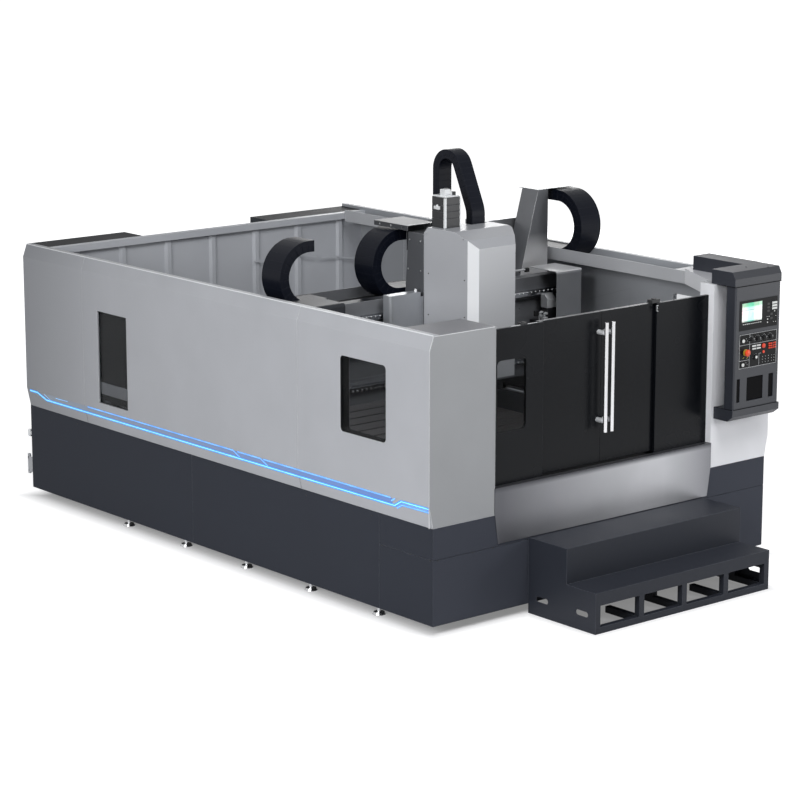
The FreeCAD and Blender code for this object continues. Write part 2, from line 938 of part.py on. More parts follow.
def sliding_door(x):
    """A door skin folded back at its edges, with two grooved wheels that run on the track."""
    y0 = front + door_face_y + door_depth + door_gap
    y = span(y0, door_depth)
    clear = 6.0
    leaf = tray(x, y, (door_base + clear, door_base + door_height), 1, 1)
    wheel_z = door_base + running_gap + wheel_radius
    parts = [leaf]
    rail_y = front + door_face_y + door_depth + 3 * door_gap + door_depth
    for centre in (x[0] + 2 * wheel_radius, x[1] - 2 * wheel_radius):
        wheel_y = rail_y + sheet / 2 - wheel_thickness / 2
        wheel = rod(V(centre, wheel_y, wheel_z), Y_AXIS, wheel_thickness, wheel_radius)
        arm = box((centre - wheel_radius / 2, centre + wheel_radius / 2), (y[0] + 1, wheel_y + 1),
                  (wheel_z - wheel_radius / 3, wheel_z + 2 * wheel_radius))
        parts += [wheel, arm]
    return fuse(*parts)


def make_door_handle(x):
    """A bar on two round posts, standing in front of a sliding door."""
    door_y = front + door_face_y + door_depth + door_gap
    y = door_y - handle_reach
    bar = rod(V(x, y, handle_base), Z_AXIS, handle_length, handle_radius)
    parts = [bar]
    for z in (handle_base + handle_post_inset, handle_base + handle_length - handle_post_inset):
        parts.append(rod(V(x, y, z), Y_AXIS, handle_reach, handle_post_radius))
        parts.append(rod(V(x, door_y - sheet, z), Y_AXIS, sheet, 2 * handle_post_radius))
    return fuse(*parts)


# ---- step
def make_step_platform():
    x0 = step_centre_x - step_width / 2
    x = (x0, x0 + step_width)
    back_y = front
    riser_y = front - upper_tread_depth
    front_y = front - step_reach
    tube = step_tube
    cheek_outline = [(back_y, 0), (back_y, tread_height), (riser_y, tread_height), (riser_y, lower_tread_height),
                     (front_y, lower_tread_height), (front_y, 0)]
    cheeks = []
    for side in ((x[0], x[0] + tread_plate), (x[1] - tread_plate, x[1])):
        cheek = along_x(cheek_outline, side)
        for place in step_slot_places:
            start = front - place - step_slot_length / 2
            slot = rounded_box((side[0] - 1, side[1] + 1), span(start, step_slot_length),
                               span(step_slot_z - step_slot_height / 2, step_slot_height),
                               step_slot_height * 0.49, X_AXIS)
            cheek = cheek.cut(slot)
        cheeks.append(cheek)
    skin_path = [(back_y, tread_height), (riser_y, tread_height), (riser_y, lower_tread_height),
                 (front_y, lower_tread_height), (front_y, lower_tread_height - tube)]
    treads = along_x(folded(skin_path, -tread_plate), x)
    parts = cheeks + [treads]
    post_z = (0, lower_tread_height)
    pitch = (step_width - tube) / (step_post_count - 1)
    for i in range(step_post_count):
        post_x = span(x[0] + i * pitch, tube)
        parts.append(box(post_x, span(front_y, tube), post_z))
        parts.append(box(post_x, (front_y, riser_y + tube), span(0, tube)))
    parts.append(box(x, span(front_y, tube), span(0, tube)))
    parts.append(box(x, span(front_y, tube), (lower_tread_height - 2 * tube, lower_tread_height)))
    for post_x in ((x[0], x[0] + tube), (step_centre_x - tube / 2, step_centre_x + tube / 2), (x[1] - tube, x[1])):
        for y in (riser_y, back_y - tube):
            parts.append(box(post_x, span(y, tube), (0, tread_height)))
        parts.append(box(post_x, (riser_y, back_y), span(0, tube)))
    parts.append(box(x, span(riser_y, tube), span(lower_tread_height - 2 * tube, tube)))
    return fuse(*parts)


# ---- chain trough
def make_chain_trough():
    x = (wall_inner_x - trough_width, wall_inner_x)
    y = (front + trough_front_y + seam, back_wall_y - back_channel_height - seam)
    path = [(x[1], rail_top - trough_depth), (x[0], rail_top - trough_depth), (x[0], rail_top)]
    channel = along_y(folded(path, sheet), y)
    lid = box(x, span(y[0], trough_lid_length), (rail_top - sheet, rail_top))
    y_divider = front + trough_divider_y
    stops = [box(x, span(stop, sheet), (rail_top - trough_depth, rail_top - trough_depth + sheet + 1))
             for stop in (y[0], y_divider)]
    return fuse(channel, lid, *stops)


def make_rear_fittings():
    y0 = back
    x = left + foot_inset
    flange = rod(V(x, y0, pipe_height), Y_AXIS, 8, 2 * pipe_radius)
    stub = rod(V(x, y0, pipe_height), Y_AXIS, rear_reach - pipe_radius, pipe_radius)
    elbow = rod(V(x, y0 + rear_reach - pipe_radius, pipe_height - 2 * pipe_radius), Z_AXIS, 3 * pipe_radius,
                pipe_radius)
    plate_z = pipe_height - plate_drop
    reach = 4 * pipe_radius
    diamond = along_y([(x - reach / 2, plate_z), (x, plate_z + reach), (x + reach / 2, plate_z),
                       (x, plate_z - reach)], span(y0, 12))
    knobs = [rod(V(x, y0, plate_z + z), Y_AXIS, rear_reach / 2, pipe_radius / 2) for z in (-pipe_radius, pipe_radius)]
    return group(fuse(flange, stub, elbow), fuse(diamond, *knobs))


# ---- gantry
def make_crossbeam():
    y0 = front + gantry_y
    y1 = y0 + beam_depth
    low = beam_top - beam_shelf_drop
    recess_low = lower_rail_z + rail_width
    recess_high = upper_rail_z - rail_width
    outline = [(y0, beam_bottom), (y0, recess_low), (y0 + beam_recess, recess_low + beam_recess),
               (y0 + beam_recess, recess_high - beam_recess), (y0, recess_high), (y0, beam_top),
               (y0 + beam_ledge, beam_top), (y0 + beam_ledge, low), (y1, low), (y1, beam_bottom)]
    beam = along_x(outline, (-beam_half_length, beam_half_length))
    inner = column_x - leg_width / 2
    pocket_width = (2 * inner - (beam_pocket_count + 1) * beam_web) / beam_pocket_count
    pocket_z = (beam_bottom + low - beam_pocket_height) / 2
    for i in range(beam_pocket_count):
        start = -inner + beam_web + i * (pocket_width + beam_web)
        pocket = rounded_box(span(start, pocket_width), (y1 - beam_pocket_depth, y1 + beam_web),
                             span(pocket_z, beam_pocket_height), beam_web, Y_AXIS)
        beam = beam.cut(pocket)
    return beam


def make_gantry_legs():
    y0 = front + gantry_y
    y_front = y0 - leg_front_reach
    y_rear = y_front + leg_length
    y_beam = y0 + beam_depth
    outline = [(y_front, leg_underside), (y_rear, leg_underside), (y_rear, leg_underside + leg_heel),
               (y_beam, leg_gusset_top), (y_beam, beam_bottom), (y0, beam_bottom),
               (y_front, leg_underside + leg_shoulder)]
    x = (column_x - leg_width / 2, column_x + leg_width / 2)
    parts = [along_x(outline, x)]
    for rail_x in (column_x - rail_offset, column_x + rail_offset):
        for y in (y_front, y_rear - block_length):
            parts.append(rail_block((rail_x - block_width / 2, rail_x + block_width / 2), span(y, block_length),
                                    (column_top + block_gap * 20, leg_underside + 1), Y_AXIS, Z_AXIS, column_top))
    nut_y = span(y_front + (leg_length - nut_length) / 2, nut_length)
    half = nut_width / 2
    parts.append(box((column_x - half, column_x + half), nut_y, (screw_height - half, leg_underside + 1)))
    leg = fuse(*parts)
    leg = leg.cut(rod(V(column_x, nut_y[0] - 1, screw_height), Y_AXIS, nut_length + 2, screw_radius + running_gap))
    return group(mirrored(leg), leg)


def make_leg_covers():
    """Bent sheet round each leg: front, outer side and top, open towards the saddle."""
    y0 = front + gantry_y
    y = (y0 - cover_reach, y0 - cover_reach + cover_length)
    inner = column_x - leg_width / 2 - cover_gap
    outer = column_x + leg_width / 2 + cover_gap + sheet
    solid = box((inner, outer), y, (cover_bottom, cover_top))
    corners = [e for e in solid.Edges
               if abs(e.BoundBox.YMin - y[0]) < 1 and abs(e.BoundBox.YMax - y[0]) < 1 and e.BoundBox.ZLength > 1
               and e.BoundBox.XMin > outer - 1]
    top = [e for e in solid.Edges if e.BoundBox.ZMin > cover_top - 1 and e.BoundBox.YMax < y[0] + 1]
    solid = solid.makeFillet(cover_radius, corners + top)
    hollow = box((inner - 1, outer - sheet), (y[0] + sheet, y[1] + 1), (cover_bottom - 1, cover_top - sheet))
    hollow = hollow.makeFillet(cover_radius - sheet, [e for e in hollow.Edges if e.BoundBox.YMax < y[0] + sheet + 1
                               and (e.BoundBox.ZMin > cover_top - sheet - 1
                                    or (e.BoundBox.ZLength > 1 and e.BoundBox.XMin > outer - sheet - 1))])
    cover = solid.cut(hollow)
    return group(mirrored(cover), cover)


def make_beam_rails():
    x = (-beam_half_length + rail_margin, beam_half_length - rail_margin)
    rails = []
    for z in (lower_rail_z, upper_rail_z):
        rails.append(rail(V(x[0], front + gantry_y, z), X_AXIS, -Y_AXIS, x[1] - x[0]))
    return group(*rails)


def cross_screw_y():
    return front + gantry_y - cross_screw_drop


def make_cross_ball_screw():
    y = cross_screw_y()
    half = cross_bearing_x
    thread = rod(V(-half + bearing_length + 1, y, cross_screw_z), X_AXIS, 2 * (half - bearing_length - 1),
                 cross_screw_radius)
    journal = rod(V(1 - half, y, cross_screw_z), X_AXIS, 2 * half - 2, cross_journal_radius)
    return fuse(thread, journal)


def make_cross_motor():
    y = cross_screw_y()
    y_pair = (y - bearing_width / 2, front + gantry_y + beam_recess)
    z_pair = (cross_screw_z - bearing_width / 2, cross_screw_z + bearing_width / 2)
    hole = rod(V(-cross_bearing_x, y, cross_screw_z), X_AXIS, 2 * cross_bearing_x, cross_journal_radius + running_gap)
    blocks = [box(span(x, bearing_length), y_pair, z_pair).cut(hole)
              for x in (-cross_bearing_x, cross_bearing_x - bearing_length)]
    half = cross_motor_width / 2
    motor_y = (y_pair[1] - cross_motor_width, y_pair[1])
    motor = rounded_box((-cross_bearing_x - cross_motor_length, -cross_bearing_x), motor_y,
                        (cross_screw_z - half, cross_screw_z + half), motor_radius, X_AXIS)
    return group(fuse(blocks[0], motor), blocks[1])


def make_chain_tray():
    y0 = front + gantry_y + beam_ledge + 1
    y1 = front + gantry_y + beam_depth
    floor = beam_top - beam_shelf_drop
    path = [(y0, beam_top - 2), (y0, floor), (y1 - beam_recess, floor), (y1 - beam_recess, floor + tray_back_height)]
    return along_x(folded(path, -tray_sheet), (-beam_half_length + leg_heel, tray_right_x))


def make_chain_bracket():
    floor = beam_top - beam_shelf_drop
    y = span(front + bracket_y, bracket_depth)
    outline = [(bracket_foot_x, floor), (bracket_top_x, bracket_top), (bracket_right_x, bracket_top),
               (bracket_right_x, floor)]
    column = along_y(outline, (y[0], front + gantry_y + beam_depth))
    inner = [(bracket_foot_x + 2 * sheet, floor + sheet), (bracket_top_x + 2 * sheet, bracket_top - sheet),
             (bracket_right_x - sheet, bracket_top - sheet), (bracket_right_x - sheet, floor + sheet)]
    column = column.cut(along_y(inner, (y[0] + sheet, y[1] + beam_depth)))
    arm_path = [(bracket_top_x, bracket_top), (bracket_arm_x, bracket_top)]
    arm = along_y(folded(arm_path, sheet), y)
    lip = box((bracket_right_x, bracket_arm_x), (y[1] - sheet, y[1]), (bracket_top - bracket_lip, bracket_top))
    clamp = box((long_chain_x + clamp_inset, long_chain_x + long_chain_width - clamp_inset),
                (y[1] - clamp_length, y[1] - sheet), (long_chain_z + long_chain_outer, bracket_top - sheet))
    return fuse(column, arm, lip, clamp)


def make_junction_box():
    y_beam = front + gantry_y + beam_depth
    x = span(junction_left_x, junction_width)
    y = span(y_beam + junction_gap, junction_depth)
    body = rounded_box(x, y, (junction_base, junction_top), junction_radius, Z_AXIS)
    lid = box((x[0] + 4 * sheet, x[1] - 4 * sheet), (y[1], y[1] + sheet),
              (junction_base + 4 * sheet, junction_top - 4 * sheet))
    parts = [body, lid]
    low = beam_top - beam_shelf_drop
    for start in (x[0] + junction_gap, x[1] - junction_gap - junction_shelf):
        arm = along_x([(y_beam, low - junction_brace), (y_beam, low), (y[0], junction_base),
                       (y[1], junction_base), (y[1], junction_base - junction_shelf),
                       (y[0], junction_base - junction_gap)],
                      span(start, junction_shelf))
        parts.append(arm)
    return fuse(*parts)


# ---- saddle and head
def saddle_face_y():
    """The front face of the saddle plate."""
    return front + gantry_y - rail_height - saddle_rail_gap - saddle_thickness


def saddle_rear_y(z):
    """The slanted rear face of the saddle's overhang at a height."""
    share = (saddle_top - z) / (saddle_top - beam_top - saddle_lift)
    return saddle_face_y() + saddle_thickness + saddle_top_reach + share * (saddle_back_reach - saddle_top_reach)


def make_saddle():
    y0 = saddle_face_y()
    y1 = y0 + saddle_thickness
    x = span(saddle_left_x, saddle_width)
    overhang = y1 + saddle_back_reach
    lift = beam_top + saddle_lift
    outline = [(y0, saddle_bottom), (y1, saddle_bottom), (y1, lift), (overhang, lift),
               (y1 + saddle_top_reach, saddle_top), (y0, saddle_top)]
    parts = [along_x(outline, x)]
    seat = front + gantry_y
    for z in (lower_rail_z, upper_rail_z):
        for start in (x[0], x[1] - block_length):
            parts.append(rail_block(span(start, block_length), (y1 - 1, seat - block_gap * 20),
                                    (z - block_width / 2, z + block_width / 2), X_AXIS, -Y_AXIS, -seat))
    half = nut_width / 2
    middle = x[0] + saddle_width / 2
    parts.append(box((middle - nut_length / 2, middle + nut_length / 2), (y1 - 1, cross_screw_y() + half - 1),
                     (cross_screw_z - half, cross_screw_z + half)))
    for rail_x in (head_axis_x() - ram_rail_offset, head_axis_x() + ram_rail_offset):
        parts.append(box((rail_x - ram_rail_width / 2, rail_x + ram_rail_width / 2), (y0 - ram_rail_depth, y0 + 1),
                         (saddle_bottom, saddle_top - 2 * motor_shelf)))
    screw_x, screw_y = z_screw_place()
    half_shelf = z_motor_width / 2
    shelf = box((screw_x - half_shelf, screw_x + half_shelf), (screw_y - half_shelf, y0 + 1),
                (saddle_top - motor_shelf, saddle_top))
    hole = rod(V(screw_x, screw_y, saddle_top - 2 * motor_shelf), Z_AXIS, 3 * motor_shelf,
               z_screw_radius + running_gap)
    parts.append(shelf.cut(hole))
    saddle = fuse(*parts)
    chain_half = head_chain_width / 2 + 4 * chain_guide_gap
    saddle = saddle.cut(box((head_chain_x - chain_half, head_chain_x + chain_half), (y0 - 1, y0 + saddle_thickness),
                            (saddle_top - saddle_notch, saddle_top + 1)))
    hole = rod(V(middle - nut_length, cross_screw_y(), cross_screw_z), X_AXIS, 2 * nut_length,
               cross_screw_radius + running_gap)
    return saddle.cut(hole)


def make_saddle_box():
    x1 = saddle_left_x - side_box_gap
    x = (x1 - side_box_width, x1)
    y0 = saddle_face_y() - (side_box_depth - saddle_thickness)
    y = (y0, y0 + side_box_depth)
    z = (side_box_base, side_box_top)
    solid = box(x, y, z)
    edge = [e for e in solid.Edges if e.BoundBox.ZLength > 1 and e.BoundBox.XMax < x[0] + 1 and e.BoundBox.YMax < y[0] + 1]
    solid = solid.makeFillet(side_box_radius, edge)
    hollow = box((x[0] + sheet, x[1] - sheet), (y[0] + sheet, y[1] + 1), (z[0] - 1, z[1] - sheet))
    edge = [e for e in hollow.Edges
            if e.BoundBox.ZLength > 1 and e.BoundBox.XMax < x[0] + sheet + 1 and e.BoundBox.YMax < y[0] + sheet + 1]
    hollow = hollow.makeFillet(side_box_radius - sheet, edge)
    strap_y = span(saddle_face_y() + sheet, sheet)
    strap = box((x[1] - sheet, saddle_left_x), strap_y, (z[0] + side_box_gap, z[1] - side_box_gap))
    return fuse(solid.cut(hollow), strap)


def head_solid(inset):
    """The head cover's outer form, or the same form drawn in by a sheet's thickness."""
    y1 = saddle_face_y()
    y0 = y1 - head_depth
    x0 = head_left_x
    x1 = head_left_x + head_width
    wide = x1 + head_bulge
    shoulder = y0 + head_nose
    i = inset
    plan = [(x0 + i, y1), (x0 + i, shoulder + i / 2), (x0 + head_chamfer + i / 2, y0 + i),
            (x1 - head_chamfer - i / 2, y0 + i), (x1 - i, shoulder + i / 2),
            (wide - i, shoulder + head_bulge_slant + i / 2), (wide - i, y1)]
    top = head_top - inset
    slope_y = shoulder + head_slope_depth
    profile = [(y1, head_bottom), (y1, top - head_rear_drop), (y1 - head_rear_drop, top), (slope_y, top),
               (shoulder, top - head_slope_drop), (y0, top - head_slope_drop - head_bevel_drop), (y0, head_bottom)]
    low = head_bottom - (1 if inset else 0)
    body = along_z(plan, (low, head_top + 1))
    side = along_x([(y, low if z == head_bottom else z) for y, z in profile], (x0 - 1, wide + 1))
    return body.common(side)


def make_head_cover():
    cover = head_solid(0).cut(head_solid(head_sheet))
    y1 = saddle_face_y()
    chain = head_chain_x
    half = head_chain_width / 2 + 4 * chain_guide_gap
    slot_y = (front + head_chain_front_y - head_chain_thickness / 2 - 2 * chain_guide_gap, y1 + 1)
    hole_z = (head_top - head_rear_drop - 2 * head_sheet, head_top + 1)
    slot = box((chain - half, chain + half), slot_y, hole_z)
    gap = 2 * chain_guide_gap
    motor_hole = box((z_motor_left_x + gap, z_motor_left_x + z_motor_width - gap),
                     (front + z_motor_y + gap, front + z_motor_y + z_motor_width - gap), hole_z)
    rear = box((head_left_x + head_sheet, head_left_x + head_width + head_bulge - head_sheet), (y1 - 1, y1 + 1),
               (head_bottom - 1, head_top - head_rear_drop - head_sheet))
    return cover.cut(slot).cut(motor_hole).cut(rear)


def make_chain_shelf():
    """Shelf over the end of the cross chain, with the guide that takes the head chain's rear leg."""
    x = span(shelf_left_x, shelf_width)
    y = span(front + shelf_y, shelf_depth)
    z = shelf_z
    path = [(x[0], z - shelf_lip), (x[0], z), (x[1], z)]
    shelf = along_y(folded(path, sheet), y)
    for i in range(3):
        hole_y = y[0] + shelf_depth * (i + 0.5) / 3
        shelf = shelf.cut(rod(V(x[0] - 1, hole_y, z - shelf_lip / 2), X_AXIS, 3 * sheet, 2 * sheet))
    y_saddle = saddle_face_y() + saddle_thickness + saddle_top_reach
    post = box((shelf_left_x + shelf_width - clamp_length, shelf_left_x + shelf_width), (y[0], y_saddle),
               (saddle_top, z - sheet + 1))
    half = head_chain_width / 2 + chain_guide_gap
    x_guide = (head_chain_x - half - sheet, head_chain_x + half + sheet)
    rear_y = front + head_chain_back_y
    depth = head_chain_thickness / 2 + chain_guide_gap
    guide_y = (rear_y - depth - sheet, rear_y + depth)
    guide_path = [(x_guide[0], guide_y[1]), (x_guide[0], guide_y[0]), (x_guide[1], guide_y[0]),
                  (x_guide[1], guide_y[1])]
    guide = along_z(folded(guide_path, -sheet), (chain_guide_bottom, chain_guide_top))
    web_x = (shelf_left_x + shelf_width - clamp_length, x_guide[0] + sheet)
    cheek_y = span(guide_y[0], sheet)
    cheek_top = z - sheet + 1
    cheek = box((saddle_left_x + 40, x_guide[0] + 1), cheek_y, (chain_guide_top - 160, cheek_top))
    tie_z = span(saddle_top - clamp_length, tie_thickness)
    tie = box(web_x, (saddle_rear_y(tie_z[0]), guide_y[0] + 1), tie_z)
    run_y = front + cross_chain_y
    clamp = box((x[1] - clamp_length, x[1]), (run_y + clamp_inset, run_y + cross_chain_width - clamp_inset),
                (cross_chain_z + cross_chain_outer, z - sheet))
    return fuse(shelf, post, guide, cheek, tie, clamp)


def make_z_motor():
    x = span(z_motor_left_x, z_motor_width)
    y = span(front + z_motor_y, z_motor_width)
    body = rounded_box(x, y, span(head_top, z_motor_height), 10, Z_AXIS)
    fins = []
    for i in range(3):
        z = head_top + z_motor_height * (0.3 + 0.22 * i)
        groove = box((x[0] - 1, x[1] + 1), (y[0] - 1, y[1] + 1), span(z, 5))
        core = box((x[0] + 4, x[1] - 4), (y[0] + 4, y[1] - 4), span(z, 5))
        fins.append(groove.cut(core))
    body = body.cut(group(*fins))
    top = head_top + z_motor_height
    middle = V(x[0] + z_motor_width / 2, y[0] + z_motor_width / 2, top)
    cap = rounded_box((x[0] + 45, x[1] - 45), (y[0] + 45, y[1] - 45), span(top, 30), 8, Z_AXIS)
    socket = rod(middle + V(0, 0, 30), Z_AXIS, 38, 17)
    side_socket = rod(V(x[1] - 38, y[0] + 40, top), Z_AXIS, 40, 16)
    foot = box((x[0] + 12, x[1] - 12), (y[0] + 12, y[1] - 12), (saddle_top, head_top))
    return fuse(body, cap, socket, side_socket, foot)


def ram_y():
    """Limits of the ram along Y: it slides just in front of the saddle plate."""
    rear = saddle_face_y() - ram_gap
    return (rear - ram_depth, rear)


def z_screw_place():
    """The vertical ball screw stands under the middle of its motor."""
    return (z_motor_left_x + z_motor_width / 2, front + z_motor_y + z_motor_width / 2)


def head_axis_x():
    return head_left_x + head_width / 2


def make_ram():
    x0 = head_axis_x() - ram_width / 2
    y = ram_y()
    body = rounded_box((x0, x0 + ram_width), y, (ram_bottom, ram_top), 12, Z_AXIS)
    middle_y = (y[0] + y[1]) / 2
    bore = rod(V(head_axis_x(), middle_y, ram_bottom - 1), Z_AXIS, spindle_length + 2, spindle_radius + running_gap)
    screw_x, screw_y = z_screw_place()
    tunnel = rod(V(screw_x, screw_y, z_screw_bottom - ram_gap), Z_AXIS, ram_top, z_screw_radius + running_gap)
    body = body.cut(bore).cut(tunnel)
    for rail_x in (head_axis_x() - ram_rail_offset, head_axis_x() + ram_rail_offset):
        half = ram_rail_width / 2 + block_gap
        depth = ram_rail_depth + block_gap - ram_gap
        body = body.cut(box((rail_x - half, rail_x + half), (y[1] - depth, y[1] + 1), (ram_bottom - 1, ram_top + 1)))
    chain_y = front + head_chain_front_y
    lug = box((x0 + ram_width - clamp_length, head_chain_x + clamp_inset),
              (chain_y - clamp_inset / 2, chain_y + clamp_inset / 2), (ram_top - 1, head_chain_front_end - block_gap))
    return fuse(body, lug)


def make_spindle():
    y = ram_y()
    middle = V(head_axis_x(), (y[0] + y[1]) / 2, ram_bottom - running_gap)
    body = rod(middle, Z_AXIS, spindle_length, spindle_radius)
    low = middle - V(0, 0, spindle_nose)
    nose = Part.makeCone(spindle_nose_radius * 0.6, spindle_nose_radius, spindle_nose, low)
    taper = Part.makeCone(spindle_nose_radius * 0.35, spindle_nose_radius * 0.2, spindle_nose, low)
    return fuse(body, nose).cut(taper)


def make_z_ball_screw():
    x, y = z_screw_place()
    return rod(V(x, y, z_screw_bottom), Z_AXIS, saddle_top - running_gap - z_screw_bottom, z_screw_radius)


# ---- cable chains
def link(plane, corners, width, slim):
    """One straight link; a slim one is drawn in on all sides, as inner links are."""
    step = link_step if slim else 0
    face = plate([plane(u, v, step) for u, v in corners])
    depth = plane(0, 0, width - 2 * step) - plane(0, 0, 0)
    return face.extrude(depth)


def chain(plane, start, heading, moves, width, thickness):
    """Enclosed links in a row: runs and turns from a start point, in a plane that maps (u, v, w) to space."""
    u, v = start
    angle = math.radians(heading)
    links = []
    for kind, *size in moves:
        if kind == "run":
            count = max(1, round(size[0] / link_pitch))
            pitch = size[0] / count
            for _ in range(count):
                slim = len(links) % 2 == 1
                half = thickness / 2 - (link_step if slim else 0)
                du, dv = math.cos(angle), math.sin(angle)
                end = (u + pitch * du, v + pitch * dv)
                corners = [(u - half * dv, v + half * du), (end[0] - half * dv, end[1] + half * du),
                           (end[0] + half * dv, end[1] - half * du), (u + half * dv, v - half * du)]
                links.append(link(plane, corners, width, slim))
                u, v = end
            continue
        radius, degrees = size
        turn = math.copysign(1, degrees)
        count = max(2, round(radius * abs(math.radians(degrees)) / link_pitch))
        centre = (u - turn * radius * math.sin(angle), v + turn * radius * math.cos(angle))
        step_angle = math.radians(degrees) / count
        for _ in range(count):
            slim = len(links) % 2 == 1
            half = thickness / 2 - (link_step if slim else 0)
            first = angle - turn * math.pi / 2
            corners = []
            for rim in (radius - half, radius + half):
                corners.append([(centre[0] + rim * math.cos(first + step_angle * k / 2),
                                 centre[1] + rim * math.sin(first + step_angle * k / 2)) for k in (0, 1, 2)])
            links.append(arc_link(plane, corners, width, slim))
            angle += step_angle
            first = angle - turn * math.pi / 2
            u = centre[0] + radius * math.cos(first)
            v = centre[1] + radius * math.sin(first)
    return links[0].multiFuse(links[1:]) if len(links) > 1 else links[0]


def arc_link(plane, rims, width, slim):
    """One link bent round a turn, between two arcs given by three points each."""
    step = link_step if slim else 0
    inner, outer = [[plane(u, v, step) for u, v in rim] for rim in rims]
    edges = [Part.Arc(*inner).toShape(), Part.LineSegment(inner[2], outer[2]).toShape(),
             Part.Arc(*outer[::-1]).toShape(), Part.LineSegment(outer[0], inner[0]).toShape()]
    depth = plane(0, 0, width - 2 * step) - plane(0, 0, 0)
    return Part.Face(Part.Wire(edges)).extrude(depth)


def across(y):
    """Plane of the cross chains: u along X, v up, w back along Y."""
    return lambda u, v, w: V(u, y + w, v)


def lengthwise(x):
    """Plane of the long chain and the head chain: u along Y, v up, w along X."""
    return lambda u, v, w: V(x + w, u, v)


def cross_loop(centre_x, lower, upper):
    mean = (cross_chain_inner + cross_chain_outer) / 2
    thickness = cross_chain_outer - cross_chain_inner
    moves = [("run", lower), ("turn", mean, -180)] + ([("run", upper)] if upper else [])
    return chain(across(front + cross_chain_y), (centre_x + lower, cross_chain_z - mean), 180, moves,
                 cross_chain_width, thickness)


def make_parked_chain():
    x = parked_chain_inset - beam_half_length
    body = cross_loop(x, parked_lower_run, parked_upper_run)
    wall = chain_wall + link_step
    y = (front + cross_chain_y + wall, front + cross_chain_y + cross_chain_width - wall)
    end = x + parked_upper_run
    z = (cross_chain_z + cross_chain_inner + wall, cross_chain_z + cross_chain_outer - wall)
    return body.cut(box((end - 2 * link_pitch, end + 1), y, z))


def make_cross_chain_run():
    mean = (cross_chain_inner + cross_chain_outer) / 2
    thickness = cross_chain_outer - cross_chain_inner
    return chain(across(front + cross_chain_y), (cross_chain_x, cross_chain_z + mean), 0, [("run", cross_upper_run)],
                 cross_chain_width, thickness)


def make_long_chain():
    mean = (long_chain_inner + long_chain_outer) / 2
    thickness = long_chain_outer - long_chain_inner
    y = front + long_chain_y
    moves = [("run", long_lower_run), ("turn", mean, -180)]
    return chain(lengthwise(long_chain_x), (y + long_lower_run, long_chain_z - mean), 180, moves, long_chain_width,
                 thickness)


def make_long_chain_run():
    mean = (long_chain_inner + long_chain_outer) / 2
    thickness = long_chain_outer - long_chain_inner
    y = front + long_chain_y
    return chain(lengthwise(long_chain_x), (y, long_chain_z + mean), 0, [("run", long_upper_run)], long_chain_width,
                 thickness)


def make_head_chain():
    radius = head_chain_radius
    lean = math.radians(head_chain_lean)
    back_y = front + head_chain_back_y
    centre_y = back_y - radius
    centre_z = head_chain_crest - head_chain_thickness / 2 - radius
    touch_y = centre_y - radius * math.cos(lean)
    touch_z = centre_z + radius * math.sin(lean)
    foot_y = front + head_chain_front_y + head_chain_bend * (1 - math.cos(lean))
    slant = (touch_y - foot_y) / math.sin(lean)
    foot_z = touch_z - slant * math.cos(lean)
    plumb = foot_z - head_chain_bend * math.sin(lean) - head_chain_front_end
    moves = [("run", centre_z - head_chain_back_end), ("turn", radius, 180 - head_chain_lean), ("run", slant),
             ("turn", head_chain_bend, head_chain_lean), ("run", plumb)]
    x = head_chain_x - head_chain_width / 2
    return chain(lengthwise(x), (back_y, head_chain_back_end), 90, moves, head_chain_width, head_chain_thickness)


# ---- pendant
def pendant_y():
    return span(front + pendant_front_y, pendant_depth)


def right_panel_top():
    return skirt_top + right_panel_height


def make_pendant_arm():
    x = (pendant_left_x - cap_overhang, pendant_left_x + pendant_width + cap_overhang / 2)
    y0 = front + pendant_front_y
    z0 = right_panel_top()
    z1 = z0 + cap_height
    outline = [(y0, z0), (y0, z1 - cap_chamfer_height), (y0 + cap_chamfer_depth, z1), (y0 + cap_depth, z1),
               (y0 + cap_depth, z0)]
    cap = along_x(outline, x)
    arm = box(span(arm_left_x, arm_width), (y0 + cap_depth - 1, front + arm_end_y), (z0, z1))
    return fuse(cap, arm)


def control_spots():
    """Centre, stem radius and hole depth of every control that moves."""
    spots = [(knob_x + i * knob_pitch, knob_z) for i in range(knob_count)]
    spots += [(button_x, start_button_z), (button_x, stop_button_z), (estop_x, estop_z)]
    return spots


def control_holes(depth):
    y = front + pendant_front_y
    holes = [rod(V(x, y - plate_proud - 1, z), Y_AXIS, depth, control_stem_radius + running_gap)
             for x, z in control_spots()]
    return group(*holes)


def make_pendant_housing():
    x = span(pendant_left_x, pendant_width)
    y = pendant_y()
    z = (pendant_base, right_panel_top())
    body = rounded_box(x, y, z, pendant_radius, Z_AXIS)
    chin = [(y[0] - 5, z[0]), (y[0] - 5, z[0] - chin_height + chin_taper_height),
            (y[0] + chin_taper_depth, z[0] - chin_height), (front, z[0] - chin_height), (front, z[0])]
    body = fuse(body, along_x(chin, (x[0] - cap_overhang, x[1] + cap_overhang)))
    for seat_x, seat_z in ((span(bezel_left_x, bezel_width), span(bezel_base, bezel_height)),
                           (span(controls_left_x, controls_width), span(controls_base, controls_height))):
        body = body.cut(box(seat_x, (y[0] - 1, y[0] + plate_seat), seat_z))
    for start, width in zip(grille_starts, grille_widths):
        body = body.cut(rounded_box(span(start, width), (y[0] - 1, y[0] + 5 * plate_seat),
                                    span(grille_base, grille_height), plate_seat, Y_AXIS))
    return body.cut(control_holes(plate_seat + control_stem_length * 2))


